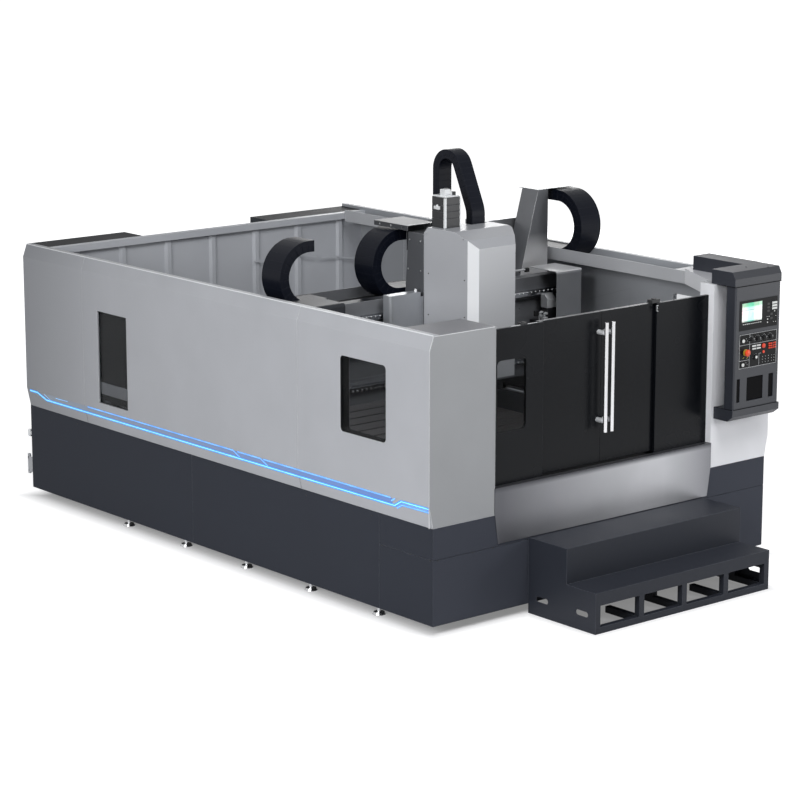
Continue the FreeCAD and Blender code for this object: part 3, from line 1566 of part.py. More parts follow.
def make_pendant_panel():
    y0 = front + pendant_front_y
    face = y0 - plate_proud
    bezel = rounded_box(span(bezel_left_x, bezel_width), (face, y0 + plate_seat), span(bezel_base, bezel_height), 5,
                        Y_AXIS)
    screen_seat = box(span(screen_x, screen_width), (face - 1, face + plate_seat / 2),
                      span(screen_base, screen_height))
    bezel = bezel.cut(screen_seat)
    pitch = (screen_base + screen_height - keys_base) / keys_rows
    keys = []
    for row in range(keys_rows):
        for column in range(2):
            width = (keys_width - key_gap) / 2
            keys.append(box(span(keys_x + column * (width + key_gap), width), (face - plate_proud, face + 1),
                            span(keys_base + row * pitch, pitch - key_gap)))
    bezel = fuse(bezel, *keys)
    plate_body = rounded_box(span(controls_left_x, controls_width), (face, y0 + plate_seat),
                             span(controls_base, controls_height), 5, Y_AXIS)
    extras = []
    for x, z in control_spots():
        radius = (estop_radius if (x, z) == (estop_x, estop_z) else knob_radius) + collar_width / 2
        if (x, z) in ((button_x, start_button_z), (button_x, stop_button_z)):
            ring = rod(V(x, face - collar_height, z), Y_AXIS, collar_height + 1, radius)
            ring = ring.cut(rod(V(x, face - collar_height - 1, z), Y_AXIS, collar_height + 1, button_radius + 1))
        else:
            ring = rod(V(x, face - 1, z), Y_AXIS, 2, radius)
        extras.append(ring)
    for i in range(2):
        extras.append(box(span(lamp_x - lamp_width / 2 + i * lamp_pitch, lamp_width), (face - collar_height, face + 1),
                          span(lamp_z - lamp_height / 2, lamp_height)))
    half = block_lamp_size / 2
    extras.append(box((block_lamp_x - half, block_lamp_x + half), (face - 2 * collar_height, face + 1),
                      (lamp_z - half, lamp_z + half)))
    extras.append(rod(V(dial_x, face - 3 * collar_height, dial_z), Y_AXIS, 3 * collar_height + 1, dial_radius))
    plate_body = fuse(plate_body, *extras)
    return group(bezel, plate_body.cut(control_holes(plate_seat + control_stem_length * 2)))


def make_pendant_screen():
    face = front + pendant_front_y - plate_proud
    return box(span(screen_x, screen_width), (face - 0.5, face + plate_seat / 2), span(screen_base, screen_height))


def make_knob(index):
    x = knob_x + index * knob_pitch
    face = front + pendant_front_y - plate_proud - 1
    gap = 1.5
    y0 = face - gap - knob_length
    skirt = Part.makeCone(knob_radius * 0.82, knob_radius, knob_length, V(x, y0, knob_z), Y_AXIS)
    grip = box((x - knob_radius * 0.22, x + knob_radius * 0.22), (y0 - 6, y0 + 1),
               (knob_z - knob_radius * 0.8, knob_z + knob_radius * 0.8))
    stem = rod(V(x, y0 + 1, knob_z), Y_AXIS, knob_length + gap + control_stem_length, control_stem_radius)
    return fuse(skirt, grip, stem)


def make_button(z):
    face = front + pendant_front_y - plate_proud
    y0 = face - button_length
    cap = rod(V(button_x, y0, z), Y_AXIS, button_length - button_travel - 1, button_radius)
    stem = rod(V(button_x, y0 + 1, z), Y_AXIS, button_length + control_stem_length, control_stem_radius)
    return fuse(cap, stem)


def make_estop_button():
    face = front + pendant_front_y - plate_proud - 1
    y0 = face - estop_travel - 2 - estop_length
    point = V(estop_x, y0, estop_z)
    dome = Part.makeSphere(estop_radius * 1.6, point + V(0, estop_radius * 1.6, 0), -Y_AXIS, 0, 90)
    disc = rod(point, Y_AXIS, estop_length * 0.6, estop_radius)
    head = dome.common(disc)
    neck = rod(point + V(0, estop_length * 0.5, 0), Y_AXIS, estop_length * 0.5, estop_radius * 0.55)
    stem = rod(point + V(0, estop_length * 0.5, 0), Y_AXIS, estop_length * 0.5 + 2 + control_stem_length,
               control_stem_radius)
    return fuse(head, neck, stem)


door_x = span(door_meet_x - slide_door_width - seam / 2, slide_door_width)
door_x_right = span(door_meet_x + seam / 2, slide_door_width)

parts = {
    "bed": make_bed(),
    "work_table": make_work_table(),
    "levelling_feet": make_levelling_feet(),
    "gantry_rails": make_gantry_rails(),
    "gantry_drives": make_gantry_drives(),
    "left_ball_screw": make_long_screw(-column_x),
    "right_ball_screw": make_long_screw(column_x),
    "skirt_panels": make_skirt_panels(),
    "wall_left": make_wall_left(),
    "wall_right": make_wall_right(),
    "wall_back": make_wall_back(),
    "rear_cabinets": make_rear_cabinets(),
    "rear_fittings": make_rear_fittings(),
    "window_panes": make_window_panes(),
    "panel_front_left": make_panel_front_left(),
    "panel_front_right": make_panel_front_right(),
    "light_strip": make_light_strip(),
    "apron": make_apron(),
    "door_tracks": make_door_tracks(),
    "door_fixed": make_door_fixed(),
    "door_left": sliding_door(door_x),
    "door_right": sliding_door(door_x_right),
    "handle_left": make_door_handle(door_meet_x - handle_offset),
    "handle_right": make_door_handle(door_meet_x + handle_offset),
    "step_platform": make_step_platform(),
    "chain_trough": make_chain_trough(),
    "crossbeam": make_crossbeam(),
    "gantry_legs": make_gantry_legs(),
    "leg_covers": make_leg_covers(),
    "beam_rails": make_beam_rails(),
    "cross_ball_screw": make_cross_ball_screw(),
    "cross_motor": make_cross_motor(),
    "chain_tray": make_chain_tray(),
    "chain_bracket": make_chain_bracket(),
    "junction_box": make_junction_box(),
    "parked_chain": make_parked_chain(),
    "saddle": make_saddle(),
    "saddle_box": make_saddle_box(),
    "head_cover": make_head_cover(),
    "chain_shelf": make_chain_shelf(),
    "z_motor": make_z_motor(),
    "z_ball_screw": make_z_ball_screw(),
    "ram": make_ram(),
    "spindle": make_spindle(),
    "cross_chain": cross_loop(cross_chain_x, cross_lower_run, 0),
    "cross_chain_run": make_cross_chain_run(),
    "long_chain": make_long_chain(),
    "long_chain_run": make_long_chain_run(),
    "head_chain": make_head_chain(),
    "pendant_arm": make_pendant_arm(),
    "pendant_housing": make_pendant_housing(),
    "pendant_panel": make_pendant_panel(),
    "pendant_screen": make_pendant_screen(),
    "mode_knob": make_knob(0),
    "feed_knob": make_knob(1),
    "speed_knob": make_knob(2),
    "rapid_knob": make_knob(3),
    "start_button": make_button(start_button_z),
    "stop_button": make_button(stop_button_z),
    "estop_button": make_estop_button(),
}

os.makedirs("parts", exist_ok=True)
for name, shape in parts.items():
    assert shape.isValid(), name
    shape.exportStep(f"parts/{name}.step")
    print(f"{name}: {len(shape.Solids)} solid(s), {shape.Volume / 1e6:.2f} litres")
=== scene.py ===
# %% [markdown]
# # A moving-gantry machining centre, dressed
# The machine's solids come from its CAD source, already sorted into bodies that move. This file gives them
# their finishes, adds what is too small or too soft for a solid, and sets up a plain studio. Everything is in
# metres. X runs across the machine, Y from the operator's side to the back, Z up.

# %% Load the frame
import bpy
import bmesh
from math import copysign, cos, pi, radians, sin
from mathutils import Matrix, Vector


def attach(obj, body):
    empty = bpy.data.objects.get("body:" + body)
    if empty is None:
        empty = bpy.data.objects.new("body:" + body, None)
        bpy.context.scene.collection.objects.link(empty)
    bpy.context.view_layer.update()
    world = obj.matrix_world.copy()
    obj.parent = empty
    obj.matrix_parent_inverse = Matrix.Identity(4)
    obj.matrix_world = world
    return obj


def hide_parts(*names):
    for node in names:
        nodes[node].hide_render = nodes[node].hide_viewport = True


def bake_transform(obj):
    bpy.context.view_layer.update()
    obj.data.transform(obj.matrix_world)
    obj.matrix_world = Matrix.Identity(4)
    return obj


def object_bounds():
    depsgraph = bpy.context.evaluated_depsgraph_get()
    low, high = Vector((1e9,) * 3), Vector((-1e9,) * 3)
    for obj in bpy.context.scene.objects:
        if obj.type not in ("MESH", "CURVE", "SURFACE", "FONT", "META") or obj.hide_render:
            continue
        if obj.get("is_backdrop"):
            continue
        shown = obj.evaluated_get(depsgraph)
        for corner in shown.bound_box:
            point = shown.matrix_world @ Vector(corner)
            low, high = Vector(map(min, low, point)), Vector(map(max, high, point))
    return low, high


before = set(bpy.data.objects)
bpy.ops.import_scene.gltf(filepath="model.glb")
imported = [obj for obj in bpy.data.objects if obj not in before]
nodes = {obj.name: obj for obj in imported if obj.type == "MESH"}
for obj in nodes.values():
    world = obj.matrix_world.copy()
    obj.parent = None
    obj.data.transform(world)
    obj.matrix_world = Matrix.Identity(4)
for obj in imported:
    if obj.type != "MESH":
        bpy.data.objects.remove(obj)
cad_low, cad_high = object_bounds()
scene = bpy.context.scene
print("size", [round(v, 3) for v in (cad_high - cad_low)])

# %% [markdown]
# ## The camera
# The photograph was taken with a long lens from the front left, a little above the machine. Straight edges in
# it gave the place, the heading and the lens. A long lens keeps the long side wall from shrinking too fast.

# %% Camera
heading, pitch = radians(39.888), radians(12.4436)
focal_pixels, photo_pixels, sensor = 2678.39, 800, 36
bpy.ops.object.select_all(action="DESELECT")
bpy.ops.object.camera_add(location=(-14.0368, -16.7034, 5.9426), rotation=(pi / 2 - pitch, 0, -heading))
camera = bpy.context.object
camera.data.sensor_width = sensor
camera.data.lens = sensor * focal_pixels / photo_pixels
camera.data.clip_end = 200
scene.camera = camera
print("lens", round(camera.data.lens, 1), "mm")

# %% [markdown]
# ## The studio
# The photograph has a white ground and soft light that comes mostly from the camera's side, so faces that look
# at the camera are bright and top faces are duller. Four soft boxes do that: at the side, over the open front,
# near the control box and behind. The world is white for what the camera, metal and glass see, and a soft grey
# for the light that it sheds. The floor glows white as well, less so close to the machine: a painted shadow
# there, where its shade lies.

# %% Floor and world
def material(name):
    """An empty node material with its node tree and its shader."""
    made = bpy.data.materials.new(name)
    made.use_nodes = True
    return made, *inside(made)


def inside(finish):
    """The node tree and the shader of a finish."""
    return finish.node_tree, finish.node_tree.nodes["Principled BSDF"]


def plug(socket, value):
    """Link an input to another node's output, or give it a value of its own."""
    if isinstance(value, bpy.types.NodeSocket):
        socket.id_data.links.new(value, socket)
    else:
        socket.default_value = value


def feed(node, **inputs):
    """Plug several inputs of a node by name; an underscore stands for a space."""
    for key, value in inputs.items():
        plug(node.inputs[key.replace("_", " ")], value)


def add(tree, kind, output=None, settings=None, **inputs):
    """A new node with its settings and inputs; gives back one of its outputs, or the node."""
    made = tree.nodes.new("ShaderNode" + kind)
    for key, value in (settings or {}).items():
        setattr(made, key, value)
    feed(made, **inputs)
    return made if output is None else made.outputs[output]


def maths(tree, operation, first, second, kind="Math"):
    """A Math or VectorMath node; each operand is an output or a value."""
    made = add(tree, kind, None, {"operation": operation})
    plug(made.inputs[0], first)
    plug(made.inputs[1], second)
    return made.outputs["Value"]


def remap(tree, value, low, high, to_low=0.0, to_high=1.0):
    """Carry a value from one range to another and hold it at the ends."""
    return add(tree, "MapRange", "Result", Value=value, From_Min=low, From_Max=high, To_Min=to_low,
               To_Max=to_high)


def axes(tree):
    """The X, Y and Z of Object coordinates."""
    return add(tree, "SeparateXYZ", Vector=add(tree, "TexCoord", "Object")).outputs


def beside(tree, spot, low, high):
    """How far a floor point lies outside a rectangle: below zero inside it."""
    gaps = []
    for axis in (0, 1):
        middle, half = (low[axis] + high[axis]) / 2, (high[axis] - low[axis]) / 2
        offset = maths(tree, "SUBTRACT", spot[axis], middle)
        gaps.append(maths(tree, "SUBTRACT", maths(tree, "ABSOLUTE", offset, 0.0), half))
    return maths(tree, "MAXIMUM", *gaps)


def seen_rays(tree):
    """One for the rays of the camera, of metal and of glass, nothing for the light that things shed."""
    path = add(tree, "LightPath").outputs
    mirror = maths(tree, "MAXIMUM", path["Is Glossy Ray"], path["Is Transmission Ray"])
    return maths(tree, "MAXIMUM", path["Is Camera Ray"], mirror)


bpy.ops.mesh.primitive_plane_add(size=200, location=(0, 0, -0.001))
floor = bpy.context.object
floor.name = "studio_floor"
floor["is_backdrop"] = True
floor_paint, tree, shader = material("studio_white")
spot = axes(tree)
# Close to the machine and its step the floor's glow is turned down: a painted shadow.
machine = beside(tree, spot, (-1.75, -2.38), (1.75, 3.02))
steps = beside(tree, spot, (-0.80, -3.12), (1.04, -2.38))
reach = maths(tree, "MINIMUM", machine, steps)
glow = maths(tree, "ADD", remap(tree, reach, -0.06, 0.16, 0.22, 0.82), remap(tree, reach, 1.0, 6.0, 0.0, 0.2))
feed(shader, Base_Color=(0.62, 0.62, 0.63, 1), Roughness=0.9, Specular_IOR_Level=0.0, Emission_Color=(1, 1, 1, 1),
     Emission_Strength=maths(tree, "MULTIPLY", seen_rays(tree), glow))
floor.data.materials.append(floor_paint)

world = bpy.data.worlds.new("studio_world")
scene.world = world
world.use_nodes = True
tree = world.node_tree
tree.nodes.clear()
shed = add(tree, "Background", "Background", Color=(0.93, 0.96, 1.0, 1), Strength=0.16)
white = add(tree, "Background", "Background", Strength=1.0)
mix = add(tree, "MixShader")
for socket, value in zip(mix.inputs, (seen_rays(tree), shed, white)):
    plug(socket, value)
add(tree, "OutputWorld", Surface=mix.outputs["Shader"])


def lamp(name, place, aim, size, power, spread=180):
    """A rectangular soft box that looks at a point; a small spread keeps its light in a beam."""
    bpy.ops.object.light_add(type="AREA", location=place)
    made = bpy.context.object
    made.name = name
    made.data.shape = "RECTANGLE"
    made.data.size, made.data.size_y = size
    made.data.energy = power
    made.data.spread = radians(spread)
    made.rotation_euler = (Vector(aim) - Vector(place)).to_track_quat("-Z", "Y").to_euler()
    return made


lamp("side_box", (-11, -4.5, 5.5), (-1.8, -1.0, 1.4), (7, 5), 325, 110)
lamp("inner_box", (-1, -7, 9), (0, 2, 1.5), (5, 4), 400)
lamp("near_box", (4.2, -6.4, 2.6), (1.6, -2.4, 1.3), (1.6, 1.6), 77)
lamp("back_box", (12, 12, 4), (0, 1, 1.2), (6, 6), 450)
scene.view_settings.view_transform = "Standard"

# %% [markdown]
# ## Colours and a way to make a finish
# Most of this machine is powder coated sheet. Close up such a coat is never flat: it has a fine orange-peel
# grain and its gloss drifts over a panel. At a fold it catches the light as a pale line; here that line is a
# painted highlight, another colour, mostly a lighter one, at the folds. One function makes all of that from
# Object coordinates, so the pattern stays on the piece when it moves. A Bevel node rounds the folds for the
# light only, which leaves the mesh from the CAD as it is.

# %% Colour and node helpers
def srgb(red, green, blue):
    """A screen colour from 0 to 255 as the linear numbers that a shader takes."""
    return tuple(((v / 255 + 0.055) / 1.055) ** 2.4 if v > 10 else v / 3294.6 for v in (red, green, blue)) + (1,)


def shade(colour, factor):
    """The same colour, lighter or darker."""
    return tuple(min(v * factor, 1.0) for v in colour[:3]) + (1,)


def ramp(tree, factor, *stops):
    """A colour ramp along an output; each stop is a position and a colour."""
    made = add(tree, "ValToRGB", Fac=factor)
    marks = made.color_ramp.elements
    for mark, (position, colour) in zip(marks, (stops[0], stops[-1])):
        mark.color = colour
        mark.position = position
    for position, colour in stops[1:-1]:
        marks.new(position).color = colour
    return made.outputs["Color"]


def mixed(tree, factor, first, second, **settings):
    """A colour mix; the factor and each colour is an output or a value."""
    made = add(tree, "Mix", None, {"data_type": "RGBA", **settings}, Factor=factor)
    plug(made.inputs[6], first)
    plug(made.inputs[7], second)
    return made.outputs[2]


def edge_mask(tree, radius):
    """A rounded normal, and its lean from the face's own as a mask: nothing on a flat, one at a fold."""
    rounded = add(tree, "Bevel", "Normal", {"samples": 6}, Radius=radius)
    lean = maths(tree, "DOT_PRODUCT", rounded, add(tree, "NewGeometry", "Normal"), "VectorMath")
    return rounded, remap(tree, lean, 0.995, 0.86)


def painted(piece, finish):
    """Give a piece a finish as its only one."""
    piece.data.materials.clear()
    piece.data.materials.append(finish)


def dress(finish, *names):
    """Give CAD nodes a finish."""
    for name in names:
        painted(nodes[name], finish)


def coated(name, colour, rough, *dressed, grain=900, depth=0.12, cloud=0.04, metal=0.0, rim=None,
           rim_size=0.004, gloss=0.5):
    """A finish for CAD nodes: fine grain, slow clouds in colour and gloss, another colour at folds, mostly a
    painted highlight.
    """
    made, tree, shader = material(name)
    colour = srgb(*colour)
    place = add(tree, "TexCoord", "Object")
    stretch = grain if isinstance(grain, tuple) else (grain,) * 3
    stretched = add(tree, "Mapping", "Vector", Vector=place, Scale=stretch)
    fine = add(tree, "TexNoise", "Fac", Vector=stretched, Scale=1.0, Detail=2.0, Roughness=0.6)
    slow = add(tree, "TexNoise", "Fac", Vector=place, Scale=1.7, Detail=3.0)
    rounded, folds = edge_mask(tree, rim_size)
    dimpled = add(tree, "Bump", "Normal", Strength=depth, Distance=0.001, Height=fine, Normal=rounded)
    tone = ramp(tree, slow, (0.3, shade(colour, 1 - cloud)), (0.7, shade(colour, 1 + cloud)))
    # At the folds the colour turns to the rim colour, by default a quarter lighter: a painted highlight.
    tint = mixed(tree, folds, tone, srgb(*rim) if rim else shade(colour, 1.25))
    sheen = remap(tree, slow, 0.0, 1.0, max(rough - 0.07, 0.02), min(rough + 0.07, 1.0))
    feed(shader, Normal=dimpled, Base_Color=tint, Roughness=sheen, Metallic=metal, Specular_IOR_Level=gloss)
    dress(made, *dressed)
    return made


def painted_light_and_tone(finish, colour, direction=None, cosine=0.9, along=None):
    """Blend a finish towards a colour on faces that look one way, along (axis, from, to), or both; mostly painted
    light and shade.
    """
    tree, shader = inside(finish)
    before = shader.inputs["Base Color"].links[0].from_socket
    masks = []
    if direction:
        normal = add(tree, "TexCoord", "Normal")
        look = maths(tree, "DOT_PRODUCT", normal, Vector(direction).normalized(), "VectorMath")
        masks.append(remap(tree, look, cosine, cosine + 0.03))
    if along:
        axis, low, high = along
        masks.append(remap(tree, axes(tree)[axis], low, high))
    share = maths(tree, "MULTIPLY", *masks) if len(masks) == 2 else masks[0]
    feed(shader, Base_Color=mixed(tree, share, before, srgb(*colour)))


def dulled(finish, low, high, metal, gloss):
    """Take the shine off a finish at the left of the object; it comes back between low and high."""
    tree, shader = inside(finish)
    x, shy = axes(tree)["X"], 0.02
    feed(shader, Metallic=remap(tree, x, low, high, shy, metal),
         Specular_IOR_Level=remap(tree, x, low, high, shy, gloss))


# A near-white fold colour for the pale coats: a painted highlight along their folds.
painted_fold_highlight = (238, 240, 243)
wall_coat = coated("wall_coat", (176, 178, 183), 0.42, "wall_left", rim=painted_fold_highlight)
# The front-left corner and the front-right column wear the wall's grey in two copies: the corner's darker, a
# painted shade, and the column's far lighter, painted light.
corner_coat_shaded = coated("corner_coat_shaded", (160, 162, 165), 0.42, "panel_front_left", rim=painted_fold_highlight)
column_coat_lit = coated("column_coat_lit", (243, 244, 248), 0.42, "panel_front_right", rim=painted_fold_highlight)
trough_coat = coated("trough_coat", (186, 188, 192), 0.42, "chain_trough", rim=painted_fold_highlight)
inside_coat = coated("inside_coat", (188, 191, 197), 0.4, "wall_back", cloud=0.05)
skirt_coat = coated("skirt_coat", (52, 55, 63), 0.5, "skirt_panels", rim=(104, 108, 116), depth=0.2, gloss=0.06)
coated("step_coat", (42, 45, 53), 0.5, "step_platform", rim=(88, 91, 100), depth=0.3, gloss=0.2)
coated("door_coat", (14, 16, 20), 0.26, "door_fixed", "door_left", "door_right", rim=(40, 43, 48), depth=0.02,
       cloud=0.08, gloss=0.12)
cabinet_coat = coated("cabinet_coat", (62, 65, 69), 0.55, "rear_cabinets", gloss=0.06)
to_left, to_front, upward = (-1, 0, 0), (0, -1, 0), (0, 0, 1)
# Painted light and shade: the tops of the corner, the column and the cabinets darker, the skirt's fronts lighter,
# and the long wall darker towards its back end.
painted_light_and_tone(corner_coat_shaded, (112, 113, 118), upward, 0.6)
painted_light_and_tone(column_coat_lit, (184, 185, 190), upward, 0.7)
painted_light_and_tone(skirt_coat, (68, 71, 80), to_front, 0.9)
painted_light_and_tone(cabinet_coat, (26, 28, 32), upward, 0.7)
painted_light_and_tone(wall_coat, (144, 146, 151), along=("Y", 1.7, 3.0))
coated("right_coat", (160, 163, 168), 0.4, "wall_right", rim=painted_fold_highlight, cloud=0.05)
print("coats", len(bpy.data.materials))

# %% [markdown]
# ## Bare and cast metal
# Brushed sheet has scratches that all run one way, so its grain is noise squeezed along one axis and long on
# the others. Ground rails and chrome bars are the same with a finer, smoother grain. Cast iron under paint is
# lumpy instead: a coarse noise and a little pitting.

# %% Metals
apron_sheet = coated("apron_sheet", (180, 181, 185), 0.36, "apron", grain=(4, 900, 900), depth=0.1, metal=0.6,
                     cloud=0.08, rim=painted_fold_highlight)
# A painted reflection on the apron: darker towards both ends than between them, and a painted shadow of the door
# track along its top.
painted_light_and_tone(apron_sheet, (92, 93, 98), along=("X", 0.35, -1.1))
painted_light_and_tone(apron_sheet, (122, 123, 128), along=("X", 0.6, 1.15))
painted_light_and_tone(apron_sheet, (70, 71, 76), along=("Z", 0.985, 1.02))
coated("box_steel", (172, 175, 180), 0.32, "saddle_box", grain=(900, 900, 6), depth=0.08, metal=0.5, cloud=0.16)
coated("tray_sheet", (108, 110, 114), 0.4, "chain_tray", metal=0.15, depth=0.1, rim=(190, 192, 195), gloss=0.3)
coated("shelf_sheet", (62, 64, 68), 0.4, "chain_shelf", metal=0.15, depth=0.1, rim=(150, 152, 155), gloss=0.3)
bracket_sheet = coated("bracket_sheet", (118, 120, 124), 0.3, "chain_bracket", grain=(700, 700, 8), depth=0.08,
                       metal=0.35, cloud=0.1, rim=(228, 230, 232), rim_size=0.007, gloss=0.4)
beam_paint = coated("beam_paint", (118, 120, 124), 0.3, "crossbeam", grain=(700, 8, 700), depth=0.1, metal=0.3,
                    rim=(190, 192, 195))
# Painted shade: the beam's top faces darker towards its left end.
painted_light_and_tone(beam_paint, (34, 36, 40), upward, 0.7, ("X", -0.3, -0.7))
dulled(beam_paint, -0.6, 0.2, 0.3, 0.5)
cover_sheet = coated("cover_sheet", (134, 136, 140), 0.34, "leg_covers", "junction_box", grain=(700, 700, 8),
                     depth=0.08, metal=0.35, cloud=0.12, rim=(225, 227, 230), gloss=0.4)
# Painted light on the bracket: its front faces darker, a painted shade under the cover, and near white towards
# their foot, a painted reflection.
painted_light_and_tone(bracket_sheet, (96, 98, 102), to_front, 0.5)
painted_light_and_tone(bracket_sheet, (250, 250, 252), to_front, 0.5, ("Z", 2.42, 2.06))
# Painted light on the leg covers: darker at the far left end, a painted shade, and the tops at the right end near
# white, a painted highlight.
painted_light_and_tone(cover_sheet, (60, 62, 66), along=("X", -0.9, -1.0))
painted_light_and_tone(cover_sheet, (226, 227, 229), upward, 0.7, ("X", 1.0, 1.2))
dulled(cover_sheet, -1.0, -0.9, 0.35, 0.4)
galvanised = coated("galvanised", (196, 198, 200), 0.42, "rear_fittings", grain=60, depth=0.2, metal=0.7,
                    cloud=0.1)
coated("polished_steel", (205, 206, 208), 0.16, "levelling_feet", grain=(30, 30, 1200), depth=0.05, metal=1.0,
       cloud=0.03)
coated("ground_steel", (168, 170, 174), 0.25, "gantry_rails", "beam_rails", "spindle", grain=(8, 8, 1400),
       depth=0.05, metal=1.0)
coated("brushed_chrome", (214, 214, 216), 0.2, "handle_left", "handle_right", grain=(1500, 1500, 4), depth=0.06,
       metal=1.0, cloud=0.02)
coated("saddle_paint", (86, 88, 92), 0.4, "saddle", grain=120, depth=0.3, rim=(150, 152, 156))
coated("cast_paint", (46, 48, 52), 0.5, "gantry_legs", "ram", grain=120, depth=0.5, rim=(120, 122, 126))
coated("table_iron", (124, 121, 122), 0.4, "work_table", grain=(6, 500, 500), depth=0.12, metal=0.5, cloud=0.1,
       rim=(60, 58, 58))
coated("bed_paint", (92, 94, 98), 0.55, "bed", grain=90, depth=0.6)
motor_paint = coated("motor_paint", (34, 35, 38), 0.4, "z_motor", "cross_motor", "gantry_drives", depth=0.15,
                     rim=(90, 92, 96))
coated("track_paint", (26, 27, 30), 0.4, "door_tracks", rim=(80, 82, 86))
print("metals", [m.name for m in bpy.data.materials if m.use_nodes][-8:])

# %% [markdown]
# A ball screw is a bar with a rounded groove wound along it. It turns inside the machine and shows only through
# gaps, so its groove is bump, not mesh: a saw of distance along the bar plus the angle round it makes a helix.

# %% Ball screws
def screw_finish(name, axis, centre, lead):
    """Ground steel with a helical groove round a bar; axis is the bar's axis and centre a point on it."""
    made = coated(name, (160, 162, 166), 0.28, metal=1.0, depth=0.03)
    tree, shader = inside(made)
    place = add(tree, "TexCoord", "Object")
    shifted = add(tree, "Mapping", "Vector", Vector=place, Location=tuple(-v for v in centre))
    parts = add(tree, "SeparateXYZ", Vector=shifted).outputs
    across = [parts[i] for i in range(3) if i != axis]
    turns = maths(tree, "DIVIDE", maths(tree, "ARCTAN2", *across), 2 * pi)
    steps = maths(tree, "DIVIDE", parts[axis], lead)
    saw = maths(tree, "FRACT", maths(tree, "ADD", turns, steps), 0.0)
    ridge = maths(tree, "PINGPONG", maths(tree, "MULTIPLY", saw, 2.0), 1.0)
    groove = add(tree, "Bump", "Normal", Strength=0.9, Distance=0.004, Height=ridge)
    feed(shader, Normal=groove)
    return made


dress(screw_finish("long_screw_left", 1, (-1.281, 0, 1.04), 0.04), "left_ball_screw")
dress(screw_finish("long_screw_right", 1, (1.281, 0, 1.04), 0.04), "right_ball_screw")
dress(screw_finish("cross_screw", 0, (0, -0.398, 1.69), 0.025), "cross_ball_screw")
dress(screw_finish("lift_screw", 2, (-0.124, -0.6315, 0), 0.02), "z_ball_screw")
print("screws dressed")

# %% [markdown]
# ## Plastics, glass, paint on the head and the lit strip
# The cable chains are moulded nylon, almost black with a blue cast and a soft gloss. The window panes are smoked
# and thin, so light comes through and the inside shows. The strip glows: a blue coat with light of its own.

# %% Plastics, glass and glow
chain_nylon = coated("chain_nylon", (10, 14, 25), 0.4, "cross_chain", "cross_chain_run", "long_chain",
                     "long_chain_run", "head_chain", "parked_chain", depth=0.05, rim=(24, 28, 38), rim_size=0.003,
                     gloss=0.12)
head_coat = coated("head_coat", (188, 190, 195), 0.34, "head_cover", rim=(225, 227, 230), depth=0.1)
# Painted light on the head's cover: its slanted front-left faces near white, a painted highlight; its tops
# darker, a painted shade; its fronts a little lighter, painted light.
painted_light_and_tone(head_coat, (240, 242, 245), (-1, -1, 0), 0.9)
painted_light_and_tone(head_coat, (166, 168, 173), upward, 0.5)
painted_light_and_tone(head_coat, (202, 204, 208), to_front, 0.9)
pendant_coat = coated("pendant_coat", (40, 43, 51), 0.48, "pendant_arm", "pendant_housing", depth=0.25,
                      rim=(96, 100, 110))
# Painted shade: the pendant's front faces a little darker.
painted_light_and_tone(pendant_coat, (37, 40, 47), to_front, 0.8)
bezel_plastic = coated("bezel_plastic", (9, 10, 12), 0.4, "pendant_panel", depth=0.1, rim=(40, 42, 46),
                       rim_size=0.002, gloss=0.15)
knob_plastic = coated("knob_plastic", (22, 23, 25), 0.35, "mode_knob", "feed_knob", "speed_knob", "rapid_knob",
                      depth=0.1, rim_size=0.001)
button_ivory = coated("button_ivory", (226, 228, 226), 0.3, "start_button", "stop_button", depth=0.05,
                      rim_size=0.001)
coated("stop_orange", (232, 74, 28), 0.3, "estop_button", depth=0.05, rim_size=0.001)


def smoked(name, tint, rough):
    """Thin dark glass that lets the inside show."""
    made, tree, shader = material(name)
    smear = add(tree, "TexNoise", "Fac", Vector=add(tree, "TexCoord", "Object"), Scale=6.0, Detail=4.0)
    feed(shader, Base_Color=tint, Transmission_Weight=1.0, IOR=1.08,
         Roughness=remap(tree, smear, 0.0, 1.0, rough, rough + 0.05))
    return made


def lit(name, colour, strength, streak=0.15):
    """A lamp under a diffuser: its light varies a little along it."""
    made, tree, shader = material(name)
    colour = srgb(*colour)
    pulse = add(tree, "TexNoise", "Fac", Vector=add(tree, "TexCoord", "Object"), Scale=9.0, Detail=1.0)
    tone = ramp(tree, pulse, (0.3, shade(colour, 1 - streak)), (0.7, shade(colour, 1 + streak)))
    feed(shader, Base_Color=tone, Emission_Color=tone, Emission_Strength=strength, Roughness=0.4)
    return made


dress(smoked("pane_glass", (0.5, 0.51, 0.52, 1), 0.0), "window_panes")
dress(lit("strip_core", (96, 196, 255), 0.9), "light_strip")
print("all nodes dressed:", all(len(nodes[name].data.materials) == 1 for name in nodes))

# %% [markdown]
# ## Hands for modelling
# Everything new is made the way a hand would make it: add a primitive at its size and place, work it in edit
# mode, apply the modifiers. These few helpers keep that short. The first thing each one does is to deselect
# everything, because an operator acts on all that is selected. A finished piece has its place in its mesh.

# %% Helpers for pieces
step_depth = 0.731
front = cad_low.y + step_depth


def begin(piece=None):
    """Object mode with nothing selected, or with one piece selected and active."""
    if bpy.context.object and bpy.context.object.mode != "OBJECT":
        bpy.ops.object.mode_set(mode="OBJECT")
    bpy.ops.object.select_all(action="DESELECT")
    if piece:
        piece.select_set(True)
        bpy.context.view_layer.objects.active = piece


def edit(piece, select="SELECT"):
    """Open a piece in edit mode with all or nothing of it selected."""
    begin(piece)
    bpy.ops.object.mode_set(mode="EDIT")
    bpy.ops.mesh.select_all(action=select)


def close():
    """Leave edit mode."""
    bpy.ops.object.mode_set(mode="OBJECT")


def settle_mesh(piece):
    """Write the object's place, turn and size into its mesh."""
    begin(piece)
    bpy.ops.object.transform_apply(location=True, rotation=True, scale=True)
    return piece


